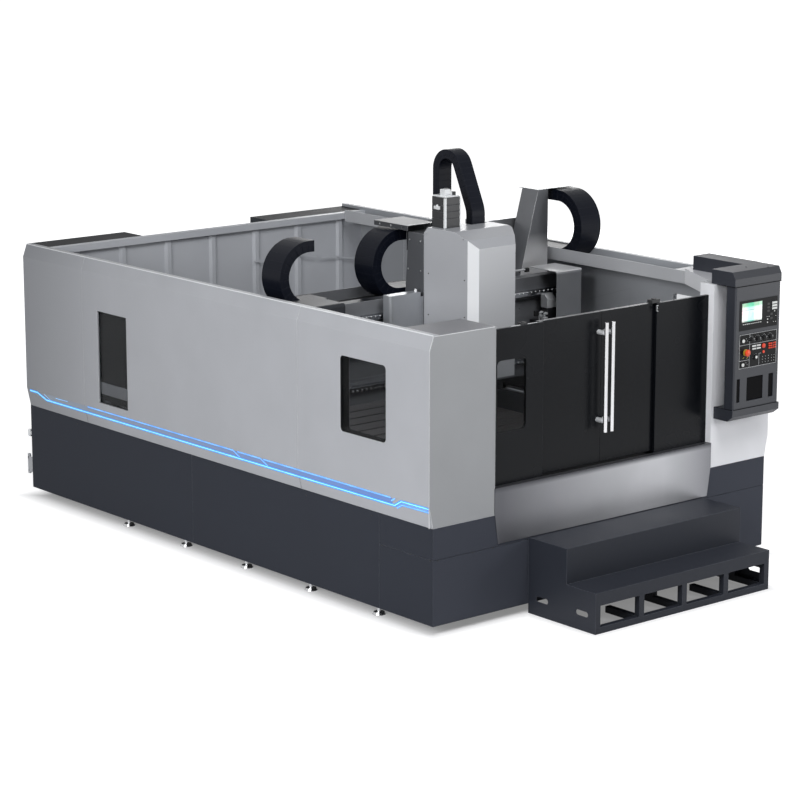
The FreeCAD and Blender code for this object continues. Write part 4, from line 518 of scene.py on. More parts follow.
def modified(piece, kind, **settings):
    """Put a modifier on a piece with its settings and apply it."""
    begin(piece)
    modifier = piece.modifiers.new("work", kind)
    for key, value in settings.items():
        setattr(modifier, key, value)
    bpy.ops.object.modifier_apply(modifier="work")
    return piece


def round_edges(piece, width, segments=2, angle=30):
    """Bevel the sharp edges and apply the modifier."""
    return modified(piece, "BEVEL", width=width, segments=segments, limit_method="ANGLE",
                    angle_limit=radians(angle))


def smoothed(piece):
    """Smooth shading, except over edges that turn by more than 35 degrees."""
    begin(piece)
    bpy.ops.object.shade_smooth_by_angle(angle=radians(35))


def block(low, high, soft=0.001, segments=2):
    """A block between two corners with its edges rounded."""
    begin()
    low, high = Vector(low), Vector(high)
    bpy.ops.mesh.primitive_cube_add(size=1, location=(low + high) / 2)
    piece = bpy.context.object
    piece.scale = high - low
    settle_mesh(piece)
    return round_edges(piece, soft, segments) if soft else piece


def turned(start, end, profile, vertices=32, smooth=True):
    """A turned piece from start to end: profile lists (share of the length, radius) from one end to the other."""
    begin()
    start, end = Vector(start), Vector(end)
    length = (end - start).length
    bpy.ops.mesh.primitive_circle_add(vertices=vertices, radius=profile[0][1], fill_type="NGON")
    piece = bpy.context.object
    edit(piece)
    reached, size = profile[0]
    for share, radius in profile[1:]:
        bpy.ops.mesh.extrude_region_move(TRANSFORM_OT_translate={"value": (0, 0, (share - reached) * length)})
        bpy.ops.transform.resize(value=(radius / size, radius / size, 1), center_override=(0, 0, share * length))
        reached, size = share, radius
    bpy.ops.mesh.select_all(action="SELECT")
    bpy.ops.mesh.normals_make_consistent(inside=False)
    close()
    piece.matrix_world = Matrix.Translation(start) @ facing(end - start)
    settle_mesh(piece)
    if smooth:
        smoothed(piece)
    return piece


def facing(axis):
    """A turn that points a model's own +Z along an axis."""
    return Vector(axis).to_track_quat("Z", "Y").to_matrix().to_4x4()


def copies(model, places, turn=Matrix()):
    """Copies of a model, each with its own mesh, turned and put at a place; the model itself goes."""
    made = []
    for place in places:
        copy = model.copy()
        copy.data = model.data.copy()
        copy.data.transform(Matrix.Translation(place) @ turn)
        scene.collection.objects.link(copy)
        made.append(copy)
    bpy.data.objects.remove(model)
    return made


def joined(parts):
    """Several meshes as one piece."""
    begin()
    for part in parts:
        part.select_set(True)
    bpy.context.view_layer.objects.active = parts[0]
    if len(parts) > 1:
        bpy.ops.object.join()
    return bpy.context.view_layer.objects.active


def named(piece, name, finish, slot_name, *replaced):
    """Name a finished piece, give it its finish and hide the solids it stands for."""
    piece.name = name
    piece.data.name = name
    painted(piece, finish)
    if replaced:
        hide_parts(*replaced)


def keep(piece, name, finish, slot_name, body="frame", *replaced):
    """Let a finished piece ride on a body, under a name and with a finish."""
    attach(piece, body)
    named(piece, name, finish, slot_name, *replaced)


def socket_screw(radius):
    """A low round head with a driver socket: a turned button whose top is inset and pushed in."""
    screw = turned((0, 0, 0), (0, 0, radius * 0.7), [(0, radius), (0.55, radius), (1, radius * 0.72)], 12, False)
    edit(screw, "DESELECT")
    mesh = bmesh.from_edit_mesh(screw.data)
    for face in mesh.faces:
        face.select_set(face.normal.z > 0.9)
    bmesh.update_edit_mesh(screw.data)
    bpy.ops.mesh.inset(thickness=radius * 0.3)
    bpy.ops.mesh.extrude_region_move(TRANSFORM_OT_translate={"value": (0, 0, -radius * 0.35)})
    close()
    return screw


def screws(name, places, axis, radius, body, finish, slot_name):
    """Screws of one size at several places, all facing one way, as one piece."""
    parts = copies(socket_screw(radius), places, facing(axis))
    keep(joined(parts), name, finish, slot_name, body)


zinc = coated("zinc_screws", (196, 198, 200), 0.28, grain=300, depth=0.1, metal=1.0, rim_size=0.0005)
black_zinc = coated("black_screws", (24, 25, 27), 0.45, grain=300, depth=0.2, rim_size=0.0005)
rubber = coated("gasket_rubber", (22, 23, 25), 0.6, grain=500, depth=0.3, rim=(70, 72, 76), rim_size=0.003)
print("front of the skirt at", round(front, 4))

# %% [markdown]
# ## Cable chains
# The photograph's chains are closed ones: moulded lids cover the cables, and each link tucks a little into the
# next. From a few metres they read as a smooth dark band with faint cross lines. The CAD keeps stepped blocks.
# Here one link is modelled flat, copied along a straight line, and the line is then wrapped round the same path
# as the solid's: a point's distance along the line picks a place on the path. Straight first, wrapped after,
# keeps the link easy to shape and the bend perfectly round.

# %% One flat link, and a path to wrap it round
def cut_across(piece, *places):
    """Cut a piece across its length at several places, so that it can bend there."""
    edit(piece)
    for x in places:
        bpy.ops.mesh.select_all(action="SELECT")
        bpy.ops.mesh.bisect(plane_co=(x, 0, 0), plane_no=(1, 0, 0))
    close()


def flat_link(pitch, width, thickness):
    """A closed link along X from 0 to the pitch: rounded shell, sunk joint at one end, a cheek on each side."""
    side_gap, slim, end_gap, half = 0.0012, 0.0012, 0.0004, thickness / 2
    shell = block((end_gap, side_gap, -half), (pitch - end_gap, width - side_gap, half), 0.0009, 1)
    cut_across(shell, pitch * 0.3, pitch * 0.53, pitch * 0.76)
    inset = side_gap + slim
    neck = block((-0.003, inset, slim - half), (0.003, width - inset, half - slim), 0)
    cheeks = [block((pitch * 0.06, low, -thickness * 0.4), (pitch * 0.94, high, thickness * 0.12), 0.0005, 1)
              for low, high in ((0.0002, 0.0014), (width - 0.0014, width - 0.0002))]
    for cheek in cheeks:
        cut_across(cheek, pitch * 0.53)
    return joined([shell, neck] + cheeks)


def move_length(kind, size, turn=0):
    """The length of one move of a path: a run has a size, a turn has a radius and an angle."""
    return size if kind == "run" else size * abs(radians(turn))


def path_point(moves, start, heading, distance):
    """Where a path of runs and turns has got to after a distance: (u, v) and the direction of travel."""
    u, v = start
    angle = radians(heading)
    for kind, size, *turn in moves:
        step = min(distance, move_length(kind, size, *turn))
        if kind == "run":
            u += step * cos(angle)
            v += step * sin(angle)
        else:
            radius = copysign(size, turn[0])
            before, angle = angle, angle + step / radius
            u += radius * (sin(angle) - sin(before))
            v -= radius * (cos(angle) - cos(before))
        distance -= step
    return u, v, angle


def wrapped_chain(moves, start, heading, plane, width, thickness, pitch=0.062):
    """Copy the flat link along a line as long as the path, then move every point onto the path."""
    total = sum(move_length(*move) for move in moves)
    count = max(1, round(total / pitch))
    pitch = total / count
    chain = joined(copies(flat_link(pitch, width, thickness), [(pitch * i, 0, 0) for i in range(count)]))
    for vertex in chain.data.vertices:
        along, across, up = vertex.co
        along = min(max(along, 0.0), total)
        u, v, angle = path_point(moves, start, heading, along)
        vertex.co = plane(u - up * sin(angle), v + up * cos(angle), across)
    chain.data.update()
    edit(chain)
    bpy.ops.mesh.normals_make_consistent(inside=False)
    close()
    smoothed(chain)
    return chain, count


# %% The chains
def across(y):
    """Cross chains lie in a plane of X and Z, and their width runs back along Y."""
    return lambda u, v, w: Vector((u, y + w, v))


def lengthwise(x):
    """The long chain and the head chain lie in a plane of Y and Z, and their width runs along X."""
    return lambda u, v, w: Vector((x + w, u, v))


def chain(solid, body, *path, stretch=None):
    """Links on a path in place of a solid, riding on the body; with a stretch they stay where they were made, on
    no body, and its carrier, start and end are not used.
    """
    piece, count = wrapped_chain(*path)
    if stretch:
        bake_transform(piece)
    else:
        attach(piece, body)
    named(piece, solid + "_links", chain_nylon, "chain_plastic", solid)
    return count


# for each size of chain: the turn's mean radius, the straight runs below and above, the turn's centre
mean, run, top_run, x, y, z = 0.240, 0.716, 0.386, -0.2825, front + 2.150, 2.339
sizes = (across(y), 0.240, 0.090)  # plane, width and thickness
links = [chain("cross_chain", "cross_chain", [("run", run), ("turn", mean, -180)], (x + run, z - mean), 180,
               *sizes),
         chain("cross_chain_run", "cross_chain", [("run", top_run)], (x, z + mean), 0, *sizes,
               stretch=("saddle", (x, 0, 0), (x + top_run, 0, 0)))]
parked_x, run, top_run = -1.2215, 0.195, 0.060
links.append(chain("parked_chain", "gantry", [("run", run), ("turn", mean, -180), ("run", top_run)],
                   (parked_x + run, z - mean), 180, *sizes))
mean, run, top_run, x, y, z = 0.2515, 1.385, 0.275, 1.5185, front + 2.215, 2.478
sizes = (lengthwise(x), 0.230, 0.093)
links.append(chain("long_chain", "long_chain", [("run", run), ("turn", mean, -180)], (y + run, z - mean), 180,
                   *sizes))
links.append(chain("long_chain_run", "long_chain", [("run", top_run)], (y, z + mean), 0, *sizes,
                   stretch=("gantry", (0, y, 0), (0, y + top_run, 0))))
lean_degrees, head_radius, bend = 24.7, 0.1315, 0.200
lean = radians(lean_degrees)
back_leg, front_leg, crest, half_thick = front + 2.1775, front + 1.763, 3.250, 0.0375
back_foot, front_foot = 2.530, 2.475
centre_y, centre_z = back_leg - head_radius, crest - half_thick - head_radius
touch_y, touch_z = centre_y - head_radius * cos(lean), centre_z + head_radius * sin(lean)
slant = (touch_y - front_leg - bend * (1 - cos(lean))) / sin(lean)
plumb = touch_z - slant * cos(lean) - bend * sin(lean) - front_foot
moves = [("run", centre_z - back_foot), ("turn", head_radius, 180 - lean_degrees), ("run", slant),
         ("turn", bend, lean_degrees), ("run", plumb)]
links.append(chain("head_chain", "head_chain", moves, (back_leg, back_foot), 90, lengthwise(0.1185), 0.140,
                   2 * half_thick, 0.050))
print("links", links)

# %% [markdown]
# ## Thin lines and rings
# Two shapes come back all over the machine. One is a flat line that follows corners: the lit lines, the bright
# folds, the frames on the control panel. It is a plane whose end edge is extruded from point to point, with the
# corners mitred, and it gets its thickness from Solidify. The other is a ring round an opening: a plane with its
# corners rounded by a vertex bevel, inset, its middle taken out, and thickened.

# %% Lines and rings
def at(x, behind, z):
    """A point in millimetres: across, behind the operator's front, and up."""
    return Vector((x / 1000, front + behind / 1000, z / 1000))


def thicken(piece, depth):
    """Give a sheet its thickness."""
    return modified(piece, "SOLIDIFY", thickness=depth, offset=-1.0)


def line(points, normal, width, depth=0.001):
    """A flat line of one width through points that lie in a plane with this normal."""
    normal = Vector(normal).normalized()
    rails = []
    for i, point in enumerate(points):
        before = (point - points[i - 1]).normalized() if i else None
        after = (points[i + 1] - point).normalized() if i + 1 < len(points) else before
        heading = ((before or after) + after).normalized()
        side = normal.cross(heading).normalized()
        stretch = 1 / max(after.dot(heading), 0.3)
        rails.append((point + side * width / 2 * stretch, point - side * width / 2 * stretch))
    begin()
    bpy.ops.mesh.primitive_plane_add(size=1)
    piece = bpy.context.object
    mesh = piece.data
    order = sorted(mesh.vertices, key=lambda v: (v.co.x, v.co.y))
    for vertex, place in zip(order, (*rails[0], *rails[1])):
        vertex.co = place
    ends = [order[2].index, order[3].index]
    for rail in rails[2:]:
        edit(piece, "DESELECT")
        close()
        for index in ends:
            mesh.vertices[index].select = True
        for edge in mesh.edges:
            edge.select = set(edge.vertices) == set(ends)
        bpy.ops.object.mode_set(mode="EDIT")
        bpy.ops.mesh.extrude_edges_move(TRANSFORM_OT_translate={"value": (0, 0, 0)})
        close()
        fresh = [v.index for v in mesh.vertices if v.select]
        ends = sorted(fresh, key=lambda i: (mesh.vertices[i].co - mesh.vertices[ends[0]].co).length)
        for index, place in zip(ends, rail):
            mesh.vertices[index].co = place
    mesh.update()
    if sum((p.normal * p.area for p in mesh.polygons), Vector()).dot(normal) < 0:
        mesh.flip_normals()
    return thicken(piece, depth) if depth else piece


def ring(centre, across_axis, up_axis, width, height, corner, band, depth):
    """A rounded frame of a band's width round an opening, its outside at the given size."""
    begin()
    bpy.ops.mesh.primitive_plane_add(size=1)
    piece = bpy.context.object
    piece.scale = (width, height, 1)
    settle_mesh(piece)
    edit(piece)
    bpy.ops.mesh.bevel(offset=corner, segments=6, affect="VERTICES")
    bpy.ops.mesh.select_all(action="SELECT")
    bpy.ops.mesh.inset(thickness=band)
    bpy.ops.mesh.delete(type="FACE")
    close()
    thicken(piece, depth)
    across_axis, up_axis = Vector(across_axis), Vector(up_axis)
    turn = Matrix((across_axis, up_axis, across_axis.cross(up_axis))).transposed().to_4x4()
    piece.matrix_world = Matrix.Translation(centre) @ turn
    return settle_mesh(piece)


def box(x, behind, z, to_x, to_behind, to_z, soft=0.001, segments=2):
    """A block between two corners in millimetres."""
    return block(at(x, behind, z), at(to_x, to_behind, to_z), soft, segments)


def boxes(*rows):
    """Several blocks as one piece, each a row of what box takes."""
    return joined([box(*row) for row in rows])


def rod(x, behind, z, to_x, to_behind, to_z, *shape):
    """A turned piece between two points in millimetres."""
    return turned(at(x, behind, z), at(to_x, to_behind, to_z), *shape)


def drawn(points, axis, width, depth):
    """A flat line through (x, behind, z) points in millimetres."""
    return line([at(*point) for point in points], axis, width, depth)


print("front left corner of the wall", at(-1801.5, 7, 820))

# %% [markdown]
# ## The lit line along the side
# The strip is a light guide let into the flared foot of the wall: a strong line, a thin one above it, and a
# frosted band between them; the band's soft glow, blue at the front and greyer towards the back, is painted
# light from the lines. At both ends the line steps up, and short slanted ticks join the two. The flare leans,
# so each point's place across is worked out from its height. Three layers lie a fraction of a millimetre apart:
# band, halo and core.

# %% Lit line
def on_flare(behind, z, proud=0.0):
    """A point on the flared foot of the left wall, a little proud of it."""
    share = (z - 820) / 165
    slope = Vector((-165, 0, -35)).normalized()
    return at(-1766.5 - 35 * share, behind, z) + slope * proud


flare_normal = (-165, 0, -35)
main_line = [(5400, 962), (5280, 962), (5150, 914), (411, 920), (325, 968), (13, 972)]
second_line = [(388, 906), (319, 942), (13, 946)]
thin_lines = [[(5078, 918), (5171, 964)], [(4990, 958), (4800, 962)],
              [(4487, 970), (3449, 972), (2402, 974), (2325, 930)], [(2344, 973), (2040, 974), (1960, 928)],
              [(2003, 974), (446, 976)], [(442, 952), (394, 978)]]
skin = 0.0003


def lit_line(points, width, proud):
    """A line of the light guide along the flare."""
    return line([on_flare(*point, proud) for point in points], flare_normal, width, skin)


band_painted_glow = coated("strip_band", (112, 140, 190), 0.35, depth=0.05, rim_size=0.0005)
# The band glows weakly, blue at the front and greyer towards the back: painted light from the lit lines.
tree, shader = inside(band_painted_glow)
tint = mixed(tree, remap(tree, axes(tree)["Y"], 2.4, -1.6), srgb(136, 146, 160), srgb(98, 134, 200))
feed(shader, Base_Color=tint, Emission_Color=tint, Emission_Strength=0.16)
halo_blue = lit("strip_halo", (48, 136, 226), 0.62, 0.1)
thin_core = lit("strip_thin_core", (128, 184, 244), 0.85, 0.25)
bright_core = lit("strip_bright_core", (136, 216, 255), 0.95, 0.1)
keep(lit_line([(5120, 946), (430, 948)], 0.056, 0.0004), "strip_band", band_painted_glow, "strip_blue")
halos = [lit_line(main_line, 0.024, 0.0008), lit_line(second_line, 0.017, 0.0008)]
halos += [lit_line(points, 0.013, 0.0008) for points in thin_lines[2:]]
keep(joined(halos), "strip_halo", halo_blue, "strip_blue")
keep(lit_line(main_line, 0.0078, 0.0012), "strip_core", bright_core, "strip_blue", "frame", "light_strip")
thin = [lit_line(points, 0.0055, 0.0013) for points in thin_lines] + [lit_line(second_line, 0.006, 0.0013)]
keep(joined(thin), "strip_thin_lines", thin_core, "strip_blue")
print("lines on the flare", len(thin) + 1)

# %% [markdown]
# ## Folds, gaskets and screws of the enclosure
# At a fold the wall catches the light as a bright hairline: along the top of the long side, down the corner, and
# along the front's top. These hairlines are painted highlights, pale strips laid on the folds. Each window sits
# in a rubber gasket, and small screws hold the lower panels.

# %% Bright folds and gaskets
fold_highlight_strip = coated("fold_highlight_strip", (236, 238, 241), 0.3, grain=200, depth=0.05, rim_size=0.0005)
seam_dark = coated("seam_shadow", (96, 98, 103), 0.6, depth=0.1, rim_size=0.0005)
bevel_out = Vector((-109, 0, 40)).normalized()
corner = [(-1797.5, 6.4, 826), (-1799, 6.4, 985), (-1799, 6.4, 2145), (-1761, 6.4, 2250)]
# Pale strips on the wall's folds: painted highlights.
folds = [drawn([(-1764, 10, 2252.5), (-1764, 5440, 2252.5)], bevel_out, 0.007, 0.002),
         drawn(corner, to_front, 0.006, 0.002),
         drawn([(-1761, -0.4, 2248), (-1170, -0.4, 2248)], to_front, 0.005, 0.001)]
keep(joined(folds), "wall_fold_highlights", fold_highlight_strip, "panel_light")
side_seams = [line([on_flare(behind, z, 0.0003) for z in (822, 984)], flare_normal, 0.004, 0.0002)
              for behind in (1560, 4530)]
keep(joined(side_seams), "wall_foot_seams", seam_dark, "skirt_dark")
gaskets = [ring(at(-1800.2, 765, 1669), to_front, upward, 0.560, 0.608, 0.045, 0.013, 0.086),
           ring(at(-1800.2, 4087.5, 1433), to_front, upward, 0.455, 0.814, 0.008, 0.010, 0.086)]
keep(joined(gaskets), "window_gaskets", rubber, "bezel_black")
liner = ring(at(-953.5, 57.2, 1696.5), (1, 0, 0), upward, 0.297, 0.551, 0.040, 0.003, 0.026)
keep(liner, "door_window_liner", bezel_plastic, "bezel_black")
spots = [at(-1797.9, behind, z) for behind in (3872, 4303) for z in (1060, 1433, 1806)]
screws("rear_window_screws", spots, to_left, 0.005, "frame", zinc, "rail_steel")
side_row = [at(-1766.6, y, 574) for y in (30, 256, 583)] + [at(-1766.6, y, 780) for y in (700, 1500, 2700, 4700)]
front_row = [at(x, -0.1, 574) for x in (-1382, -1720, -1180)]
screws("skirt_screws", side_row, to_left, 0.0055, "frame", black_zinc, "rail_steel")
screws("skirt_front_screws", front_row, to_front, 0.0055, "frame", black_zinc, "rail_steel")
print("gaskets and folds in place")

# %% [markdown]
# ## Doors
# Two door panels slide behind the fixed ones. What reads from outside are the pale hairlines on their top
# edges, painted highlights, the black carriers that hang them, a bent chrome catch at the fixed panel's edge,
# and the bars' ends.

# %% Door furniture
bright_block = coated("bright_block", (214, 216, 219), 0.3, grain=(600, 8, 600), depth=0.1, metal=0.3)
for side, x in (("left", -44.5), ("right", 25.5)):
    sleeves = [rod(x, 10, z, x, 80, z, [(0, 0.0192), (1, 0.0192)], 24) for z in (1375.5, 2059)]
    keep(joined(sleeves), side + "_handle_sleeves", bright_block, "handle_chrome", "door_" + side)
# Thin pale strips on the panels' top edges: painted highlights.
edge_highlight_grey = coated("door_edge", (58, 60, 64), 0.4, depth=0.05, rim_size=0.0005, gloss=0.2)
low, high, fine = 2210, 2212.5, 0.0005
keep(boxes((-1160, 57, low, -637, 81, high, fine, 1), (559, 57, low, 1128, 81, high, fine, 1)),
     "fixed_panel_edges", edge_highlight_grey, "panel_light")
keep(box(-656, 86, low, -13, 124, high, fine, 1), "left_door_edge", edge_highlight_grey, "panel_light", "door_left")
keep(box(-6, 86, low, 637, 124, high, fine, 1), "right_door_edge", edge_highlight_grey, "panel_light", "door_right")
print("door edges at", high)
keep(boxes((543, 44, 2150, 547, 56.5, 2198, 0.0012), (543, 44, 2193, 560, 49, 2198, 0.0012),
           (543, 44, 2150, 560, 49, 2155, 0.0012), (547, 50, 2166, 556, 56.5, 2182, 0.0012)),
     "panel_catch", zinc, "handle_chrome")
keep(boxes((508, 60, 2213, 596, 118, 2240, 0.003), (528, 66, 2240, 560, 96, 2248, 0.002),
           (-862, 60, 2212.6, -800, 104, 2230, 0.003), (-852, 62, 2230, -836, 80, 2238, 0.002)),
     "door_carriers", rubber, "door_dark")
keep(boxes((-960, 60, 2212.6, -868, 66, 2217), (-794, 60, 2212.6, -700, 66, 2216)),
     "door_guide_slips", zinc, "handle_chrome")
print("door furniture in place")

# %% [markdown]
# ## The control panel
# A pendant carries a screen beside a column of keys and, below, a plate in fields framed by printed hairlines:
# start, mushroom stop and off at the left, four rotary switches with tick marks above lamps and keys at the
# right. The marks are plain ticks and dots. Keys are small blocks with soft edges, modelled once for each size
# and copied into rows.

# %% Screen picture
def screen_picture():
    """A bright screen: a green header that fades down, pale fields, a dark rule and a darker foot."""
    made, tree, shader = material("screen_picture")
    spot = axes(tree)
    bands = [(0.0, 40, 120, 104), (0.05, 60, 150, 130), (0.07, 214, 236, 230), (0.6, 232, 238, 238),
             (0.63, 90, 110, 112), (0.65, 226, 236, 236), (0.76, 196, 236, 220), (0.84, 84, 196, 150),
             (1.0, 70, 186, 140)]
    fields = [(0.0, 250, 214, 218), (0.18, 250, 226, 228), (0.36, 150, 218, 206), (0.55, 150, 214, 202),
              (0.68, 250, 222, 224), (1.0, 255, 246, 246)]
    scales = (("Z", 2.011, 2.161, bands), ("X", 1.2415, 1.4685, fields))
    down, over = [
        ramp(tree, remap(tree, spot[axis], low, high), *((share, srgb(*tone)) for share, *tone in stops))
        for axis, low, high, stops in scales]
    haze = add(tree, "TexNoise", "Fac", Vector=add(tree, "TexCoord", "Object"), Scale=24.0, Detail=2.0)
    picture = mixed(tree, remap(tree, haze, 0.35, 0.65, 0.35, 0.75), down, over)
    picture = mixed(tree, 0.45, picture, down, blend_type="MULTIPLY")
    feed(shader, Base_Color=picture, Emission_Color=picture, Emission_Strength=0.75, Roughness=0.12)
    return made


dress(screen_picture(), "pendant_screen")
print("screen lit")

# %% Keys, lamps and printed lines
face = -202.0
printed = face - 0.3


def key_row(places, width, height, low=face, proud=4.0, soft=0.0012):
    """Blocks of one size at several places on the panel; proud is how far they stand out, in millimetres."""
    far_corner = Vector((width / 2000, 0, height / 2000))
    model = block((-far_corner.x, -proud / 1000, -far_corner.z), far_corner, soft)
    return copies(model, [at(x, low, z) for x, z in places])


def print_line(*points, width=0.0026):
    """A printed line on the panel."""
    return drawn([(x, printed, z) for x, z in points], to_front, width, skin)


def tick(x, z, degrees, low, high):
    """A printed tick that points away from a centre."""
    across, up = cos(radians(degrees)), sin(radians(degrees))
    return print_line((x + low * across, z + low * up), (x + high * across, z + high * up))


paint_white = coated("print_white", (206, 208, 210), 0.5, depth=0.02, rim_size=0.0003)
ivory = key_row([(1612, z) for z in (2131.5, 2109, 2086.5)], 57, 17, -203.8, 3.0)
ivory += key_row([(1612, 2064), (1534, 1981), (1534, 2006)], 11, 9)
ivory += key_row([(1529, 2028), (1552, 2027), (1606, 1978), (1630, 1977), (1630, 2024)], 8, 4, proud=2.0)
ivory += key_row([(1258 + 22 * i, 1994) for i in range(10)], 13, 6, proud=2.5)
ivory += key_row([(1383, 1810), (1437, 1810), (1385, 1787), (1438, 1787)], 44, 12, -206.0, 3.5)
ivory.append(rod(1405.5, -213.5, 1718, 1405.5, -218, 1718, [(0, 0.0115), (0.7, 0.0115), (1, 0.0085)], 20))
keep(joined(ivory), "panel_white_keys", button_ivory, "button_white")
dark = key_row([(1544, z) for z in (2128, 2100, 2072)] + [(1580, z) for z in (2044, 2010)], 26, 16, proud=1.5)
dark += key_row([(1410, 1799)], 104, 40, face, 4.2)
keep(joined(dark), "panel_dark_keys", knob_plastic, "knob_black")
large = [(0, 0.0185), (0.6, 0.018), (0.85, 0.014), (1, 0.008)]
small = [(0, 0.0115), (0.7, 0.011), (1, 0.007)]
lamps = [rod(1494.5, -205.5, 1799, 1494.5, -215, 1799, large, 24),
         rod(1500, face, 1749, 1500, -207, 1749, small, 20)]
lamps += key_row([(1562 + 22 * i, 1772 + 18 * j) for i in range(4) for j in range(3)], 17, 12, face, 9.0, 0.003)
keep(joined(lamps), "panel_red_lamps", lit("lamp_red", (206, 58, 30), 0.2, 0.3), "estop_red")
fields = [((1221, 1911), (1646, 1911), (1646, 1643), (1221, 1643), (1221, 1911)), ((1337, 1911), (1337, 1643)),
          ((1221, 1828), (1337, 1828)), ((1221, 1704), (1337, 1704)), ((1337, 1828), (1646, 1828)),
          ((1448, 1742), (1448, 1650)), ((1448, 1742), (1470, 1742))]
knob_columns, knob_row = [1353.5 + 72 * i for i in range(4)], 1866
dial_x, dial_z = 1405.5, 1718
ticks = [tick(x, knob_row, -30 + step * 240 / 7, 23.5, 28.5) for x in knob_columns for step in range(8)]
ticks += [tick(dial_x, dial_z, step * 30, 25, 29) for step in range(7)]
printed_lines = joined([print_line(*points) for points in fields] + ticks)
keep(printed_lines, "panel_printed_lines", paint_white, "button_white")
spots = [(x, z) for x in (1490, 1524, 1560, 1596, 1624) for z in (1710, 1688, 1666)]
spots += [(1300, 1876), (1312, 1858), (1300, 1684), (1314, 1668)]
dots = copies(turned((0, 0, 0), (0, -0.0012, 0), [(0, 0.0028), (1, 0.0022)], 10, False),
              [at(x, face, z) for x, z in spots])
keep(joined(dots), "panel_dots", galvanised, "rail_steel")
collar = [print_line((1262, 1722), (1276, 1732), width=0.004),
          print_line((1306, 1717), (1320, 1728), width=0.004),
          rod(1291.5, face, 1767, 1291.5, -203.5, 1767, [(0, 0.027), (1, 0.026)], 32)]
collar_yellow = coated("collar_yellow", (196, 176, 60), 0.5, depth=0.05, rim_size=0.0005)
keep(joined(collar), "stop_collar", collar_yellow, "button_green")
for x, name in zip(knob_columns, ("mode_knob", "feed_knob", "speed_knob", "rapid_knob")):
    pointer = box(x - 1.2, -233.3, knob_row + 2, x + 1.2, -232.3, knob_row + 16, 0.0003, 1)
    keep(pointer, name + "_pointer", paint_white, "button_white", name)
# Near-black boxes fill the pendant's wells, a painted shade in the recesses; the same black marks its joints.
well_shade_and_joint_black = coated("well_shade_and_joint_black", (6, 6, 8), 0.6, depth=0.1, gloss=0.05)
wells = boxes(*((low, -197, 1378, high, -172, 1556) for low, high in ((1202, 1238), (1320, 1504), (1566, 1616))))
keep(wells, "pendant_wells", well_shade_and_joint_black, "bezel_black")
joints = [drawn([(1158.2, -6, z), (1158.2, -200, z)], to_left, 0.005, 0.0006) for z in (2299, 1317)]
joints += [drawn([(1168, -205.3, z), (1688, -205.3, z)], to_front, 0.005, 0.0006) for z in (2299, 1317)]
keep(joined(joints), "pendant_joints", well_shade_and_joint_black, "bezel_black")
cap_places = [at(1426, -60, 2415.3), at(1560, -170, 2415.3)]
screws("pendant_screws", cap_places, upward, 0.006, "frame", black_zinc, "rail_steel")
print("keys and marks", len(ivory), len(ticks))

# %% [markdown]
# ## The head and what it hangs on
# The head's motor is a black square servo: ribbed corners, a silver cap with round plugs, a plug on its flank and
# a bright mounting foot. Small screws close the light cover. The saddle's plate behind it is held by a column of
# bright screws, and the beam carries a row of cap screws along each rail.

# %% Head motor, screws and beam fittings
white_plug = coated("plug_white", (236, 238, 240), 0.35, grain=200, depth=0.05, rim_size=0.001)
corner_bars = [box(-209, 1681.5, 2677, -190, 1700, 2918, 0.002), box(-50, 1681.5, 2677, -40, 1692, 2918, 0.002)]
feet = [rod(x, y, 2660, x, y, 2690, [(0, 0.009), (0.5, 0.009), (0.5, 0.006), (1, 0.006)], 12)
        for x in (-198, -50) for y in (1692, 1841)]
keep(joined(corner_bars + feet), "motor_bright_corners", white_plug, "rail_steel", "saddle")
cap = box(-200, 1690, 2920, -48, 1843, 2932, 0.004)
plugs = [rod(-100, 1742, 2932, -100, 1742, 2966, [(0, 0.017), (0.6, 0.017), (1, 0.013)], 20),
         rod(-185, 1716, 2946, -118, 1716, 2946, [(0, 0.011), (0.8, 0.011), (1, 0.008)], 16),
         box(-186, 1712, 2930, -122, 1772, 2984, 0.004), box(-222, 1742, 2822, -204, 1806, 2850, 0.003),
         rod(-215, 1770, 2846, -215, 1770, 2862, [(0, 0.009), (0.7, 0.009), (1, 0.006)], 12)]
keep(joined([cap] + plugs), "motor_cap_and_plugs", white_plug, "cover_grey", "saddle")
cover_places = [(1818, 1968), (1381, 2304), (1379, 2007), (1818, 2304)]
saddle_places = [(2049, 2552), (1914, 2552), (2066, 2311), (1910, 2311), (1905, 2075)]
for name, x, places, axis, radius, finish, slot_name in (
        ("cover_dark_screws", -262.6, cover_places, to_left, 0.0055, black_zinc, "motor_black"),
        ("cover_right_screws", 323.6, cover_places, (1, 0, 0), 0.0055, black_zinc, "motor_black"),
        ("cover_bright_screws", -262.6, [(1396, 2630), (1840, 2630)], to_left, 0.006, zinc, "rail_steel"),
        ("saddle_screws", -266.6, saddle_places, to_left, 0.008, zinc, "rail_steel")):
    screws(name, [at(x, behind, z) for behind, z in places], axis, radius, "saddle", finish, slot_name)
row = range(-1340, 1341, 47)
for name, z in (("upper_rail_screws", 1981), ("lower_rail_screws", 1397)):
    screws(name, [at(x, 1974.8, z) for x in row], to_front, 0.0085, "gantry", zinc, "rail_steel")
bar = rod(700, 2118, 2152, 1062, 2118, 2152, [(0, 0.0075), (0.02, 0.0088), (0.98, 0.0088), (1, 0.0075)], 20)
keep(bar, "beam_guide_bar", bright_block, "rail_steel", "gantry")
keep(boxes((1064, 2106, 2128, 1104, 2130, 2164, 0.003), (1032, 1952, 1776, 1068, 1974, 1822, 0.003)),
     "beam_end_stops", rubber, "motor_black", "gantry")
wedge = box(1112, 1888, 1846, 1226, 1972, 1960, 0)
edit(wedge)
bpy.ops.mesh.bisect(plane_co=at(1112, 1888, 1925), plane_no=(0.25, -1.0, 1.1), use_fill=True, clear_outer=True)
close()
keep(round_edges(wedge, 0.003), "slanted_end_block", bright_block, "rail_steel", "gantry")
